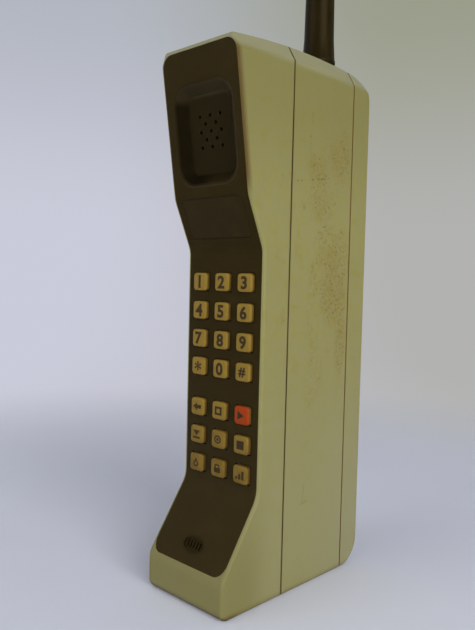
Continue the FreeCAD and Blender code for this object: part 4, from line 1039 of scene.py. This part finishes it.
def floor_paper(look):
    """Pale matt floor that keeps the shadow, and a glowing backdrop that is bluer on the left."""
    mix = Recipe("floor_paper")
    across = mix.x * math.cos(look.azimuth) + mix.y * math.sin(look.azimuth)
    rightward = mix.step(across, -330, 330)
    low = mix.mixed(colour_of(look.left_wall), colour_of(look.right_wall), rightward)
    high = mix.mixed(colour_of(look.left_high), colour_of(look.right_high), rightward)
    wall = mix.mixed(low, high, mix.step(mix.z, 200, 760))
    roughness = mix.cloud(40, 2) * 0.1 + 0.7
    paper = mix.node(
        "ShaderNodeBsdfPrincipled", {},
        {"Base Color": colour_of(look.floor), "Roughness": roughness, "Specular IOR Level": 0.2},
    )
    glow = mix.node("ShaderNodeEmission", {}, {"Color": wall})
    kinds = ("Is Camera Ray", "Is Glossy Ray", "Is Transmission Ray")
    seen = [mix.node("ShaderNodeLightPath", {}, {}, kind) for kind in kinds]
    reach = (mix.x ** 2 + mix.y ** 2) ** 0.5
    glowing = mix.step(reach, 150, 560) * seen[0].at_least(seen[1]).at_least(seen[2])
    surface = mix.node("ShaderNodeMixShader", {}, {0: glowing, 1: paper, 2: glow})
    mix.node("ShaderNodeOutputMaterial", {}, {"Surface": surface})
    return mix.material


def add_floor(look):
    """One sheet that is the floor and turns up softly into a wall all round."""
    deselect()
    bpy.ops.mesh.primitive_circle_add(vertices=BOWL_SIDES, radius=look.bowl_radius, fill_type="NGON")
    bpy.ops.object.mode_set(mode="EDIT")
    rings = []
    for degrees in range(10, 91, 10):
        angle = math.radians(degrees)
        reach = look.bowl_radius + look.turn_radius * math.sin(angle)
        rings.append((look.turn_radius * (1 - math.cos(angle)), reach))
    extrude_rings(look.bowl_radius, rings, (0, 0, 0))
    bpy.ops.mesh.extrude_region_move(TRANSFORM_OT_translate={"value": (0, 0, WALL_HEIGHT)})
    bpy.ops.mesh.delete(type="ONLY_FACE")
    bpy.ops.object.mode_set(mode="OBJECT")
    floor = bpy.context.object
    floor.name = "floor"
    bpy.ops.object.shade_smooth_by_angle(angle=math.radians(40))
    floor.data.materials.append(floor_paper(look))


def add_lamp(name, power, size, place):
    """A square soft lamp that looks at the middle of the handset."""
    deselect()
    direction = Vector(LAMP_TARGET) - Vector(place)
    rotation = direction.to_track_quat("-Z", "Y").to_euler()
    bpy.ops.object.light_add(type="AREA", location=place, rotation=rotation)
    lamp = bpy.context.object
    lamp.name = name
    lamp.data.energy = power
    lamp.data.size = size
    lamp.visible_camera = False


def add_sky(look):
    """Even pale light from all sides."""
    world = bpy.data.worlds.new("studio")
    bpy.context.scene.world = world
    world.use_nodes = True
    sky = world.node_tree.nodes["Background"]
    sky.inputs["Color"].default_value = SKY_COLOUR
    sky.inputs["Strength"].default_value = look.sky


def camera_matrix(look):
    """The camera's turn from its azimuth, elevation and roll, and its place."""
    back = Vector((
        math.sin(look.azimuth) * math.cos(look.elevation),
        -math.cos(look.azimuth) * math.cos(look.elevation),
        math.sin(look.elevation),
    ))
    level = Vector((math.cos(look.azimuth), math.sin(look.azimuth), 0))
    upright = back.cross(level)
    right = level * math.cos(look.roll) + upright * math.sin(look.roll)
    up = upright * math.cos(look.roll) - level * math.sin(look.roll)
    turn = Matrix((right, up, back)).transposed().to_4x4()
    return Matrix.Translation(look.camera_place) @ turn


def add_camera(look):
    """The camera at the photo's angle, as the scene's own."""
    bpy.ops.object.camera_add()
    camera = bpy.context.object
    camera.name = "camera"
    camera.data.sensor_fit = "VERTICAL"
    camera.data.sensor_height = SENSOR_HEIGHT
    camera.data.lens = look.lens
    camera.data.clip_start = NEAREST_SEEN
    camera.matrix_world = camera_matrix(look)
    bpy.context.scene.camera = camera


class HANDSET_OT_stage(bpy.types.Operator):
    """Set the pale floor and backdrop, the soft lamps, the sky and the camera"""

    bl_idname = "handset.stage"
    bl_label = "Stage"

    def execute(self, context):
        look = context.scene.stage_look
        context.scene.view_settings.view_transform = "Standard"
        add_floor(look)
        for name, power, size, place in LAMPS:
            add_lamp(name, getattr(look, power), size, place)
        add_sky(look)
        add_camera(look)
        return {"FINISHED"}


class HANDSET_PT_looks(bpy.types.Panel):
    """Sidebar list of the steps"""

    bl_label = "Handset looks"
    bl_idname = "HANDSET_PT_looks"
    bl_space_type = "VIEW_3D"
    bl_region_type = "UI"
    bl_category = "Handset"

    def draw(self, context):
        for look in LOOKS:
            group = getattr(context.scene, look)
            for name in group.__annotations__:
                self.layout.prop(group, name)
        for operator in OPERATORS:
            self.layout.operator(operator.bl_idname)


LOOKS = {
    "shell_look": ShellLook,
    "panel_look": PanelLook,
    "key_look": KeyLook,
    "antenna_look": AntennaLook,
    "stage_look": StageLook,
}
OPERATORS = (
    HANDSET_OT_shell,
    HANDSET_OT_panel,
    HANDSET_OT_keys,
    HANDSET_OT_legends,
    HANDSET_OT_antenna,
    HANDSET_OT_inner_parts,
    HANDSET_OT_stage,
)
CLASSES = (*LOOKS.values(), *OPERATORS, HANDSET_PT_looks)


def register():
    for item in CLASSES:
        bpy.utils.register_class(item)
    for name, group in LOOKS.items():
        setattr(bpy.types.Scene, name, PointerProperty(type=group))


def unregister():
    for name in LOOKS:
        delattr(bpy.types.Scene, name)
    for item in reversed(CLASSES):
        bpy.utils.unregister_class(item)


def main():
    """Run every step in order."""
    register()
    bpy.ops.handset.shell()
    bpy.ops.handset.panel()
    bpy.ops.handset.keys()
    bpy.ops.handset.legends()
    bpy.ops.handset.antenna()
    bpy.ops.handset.inner_parts()
    bpy.ops.handset.stage()


if __name__ == "__main__":
    main()
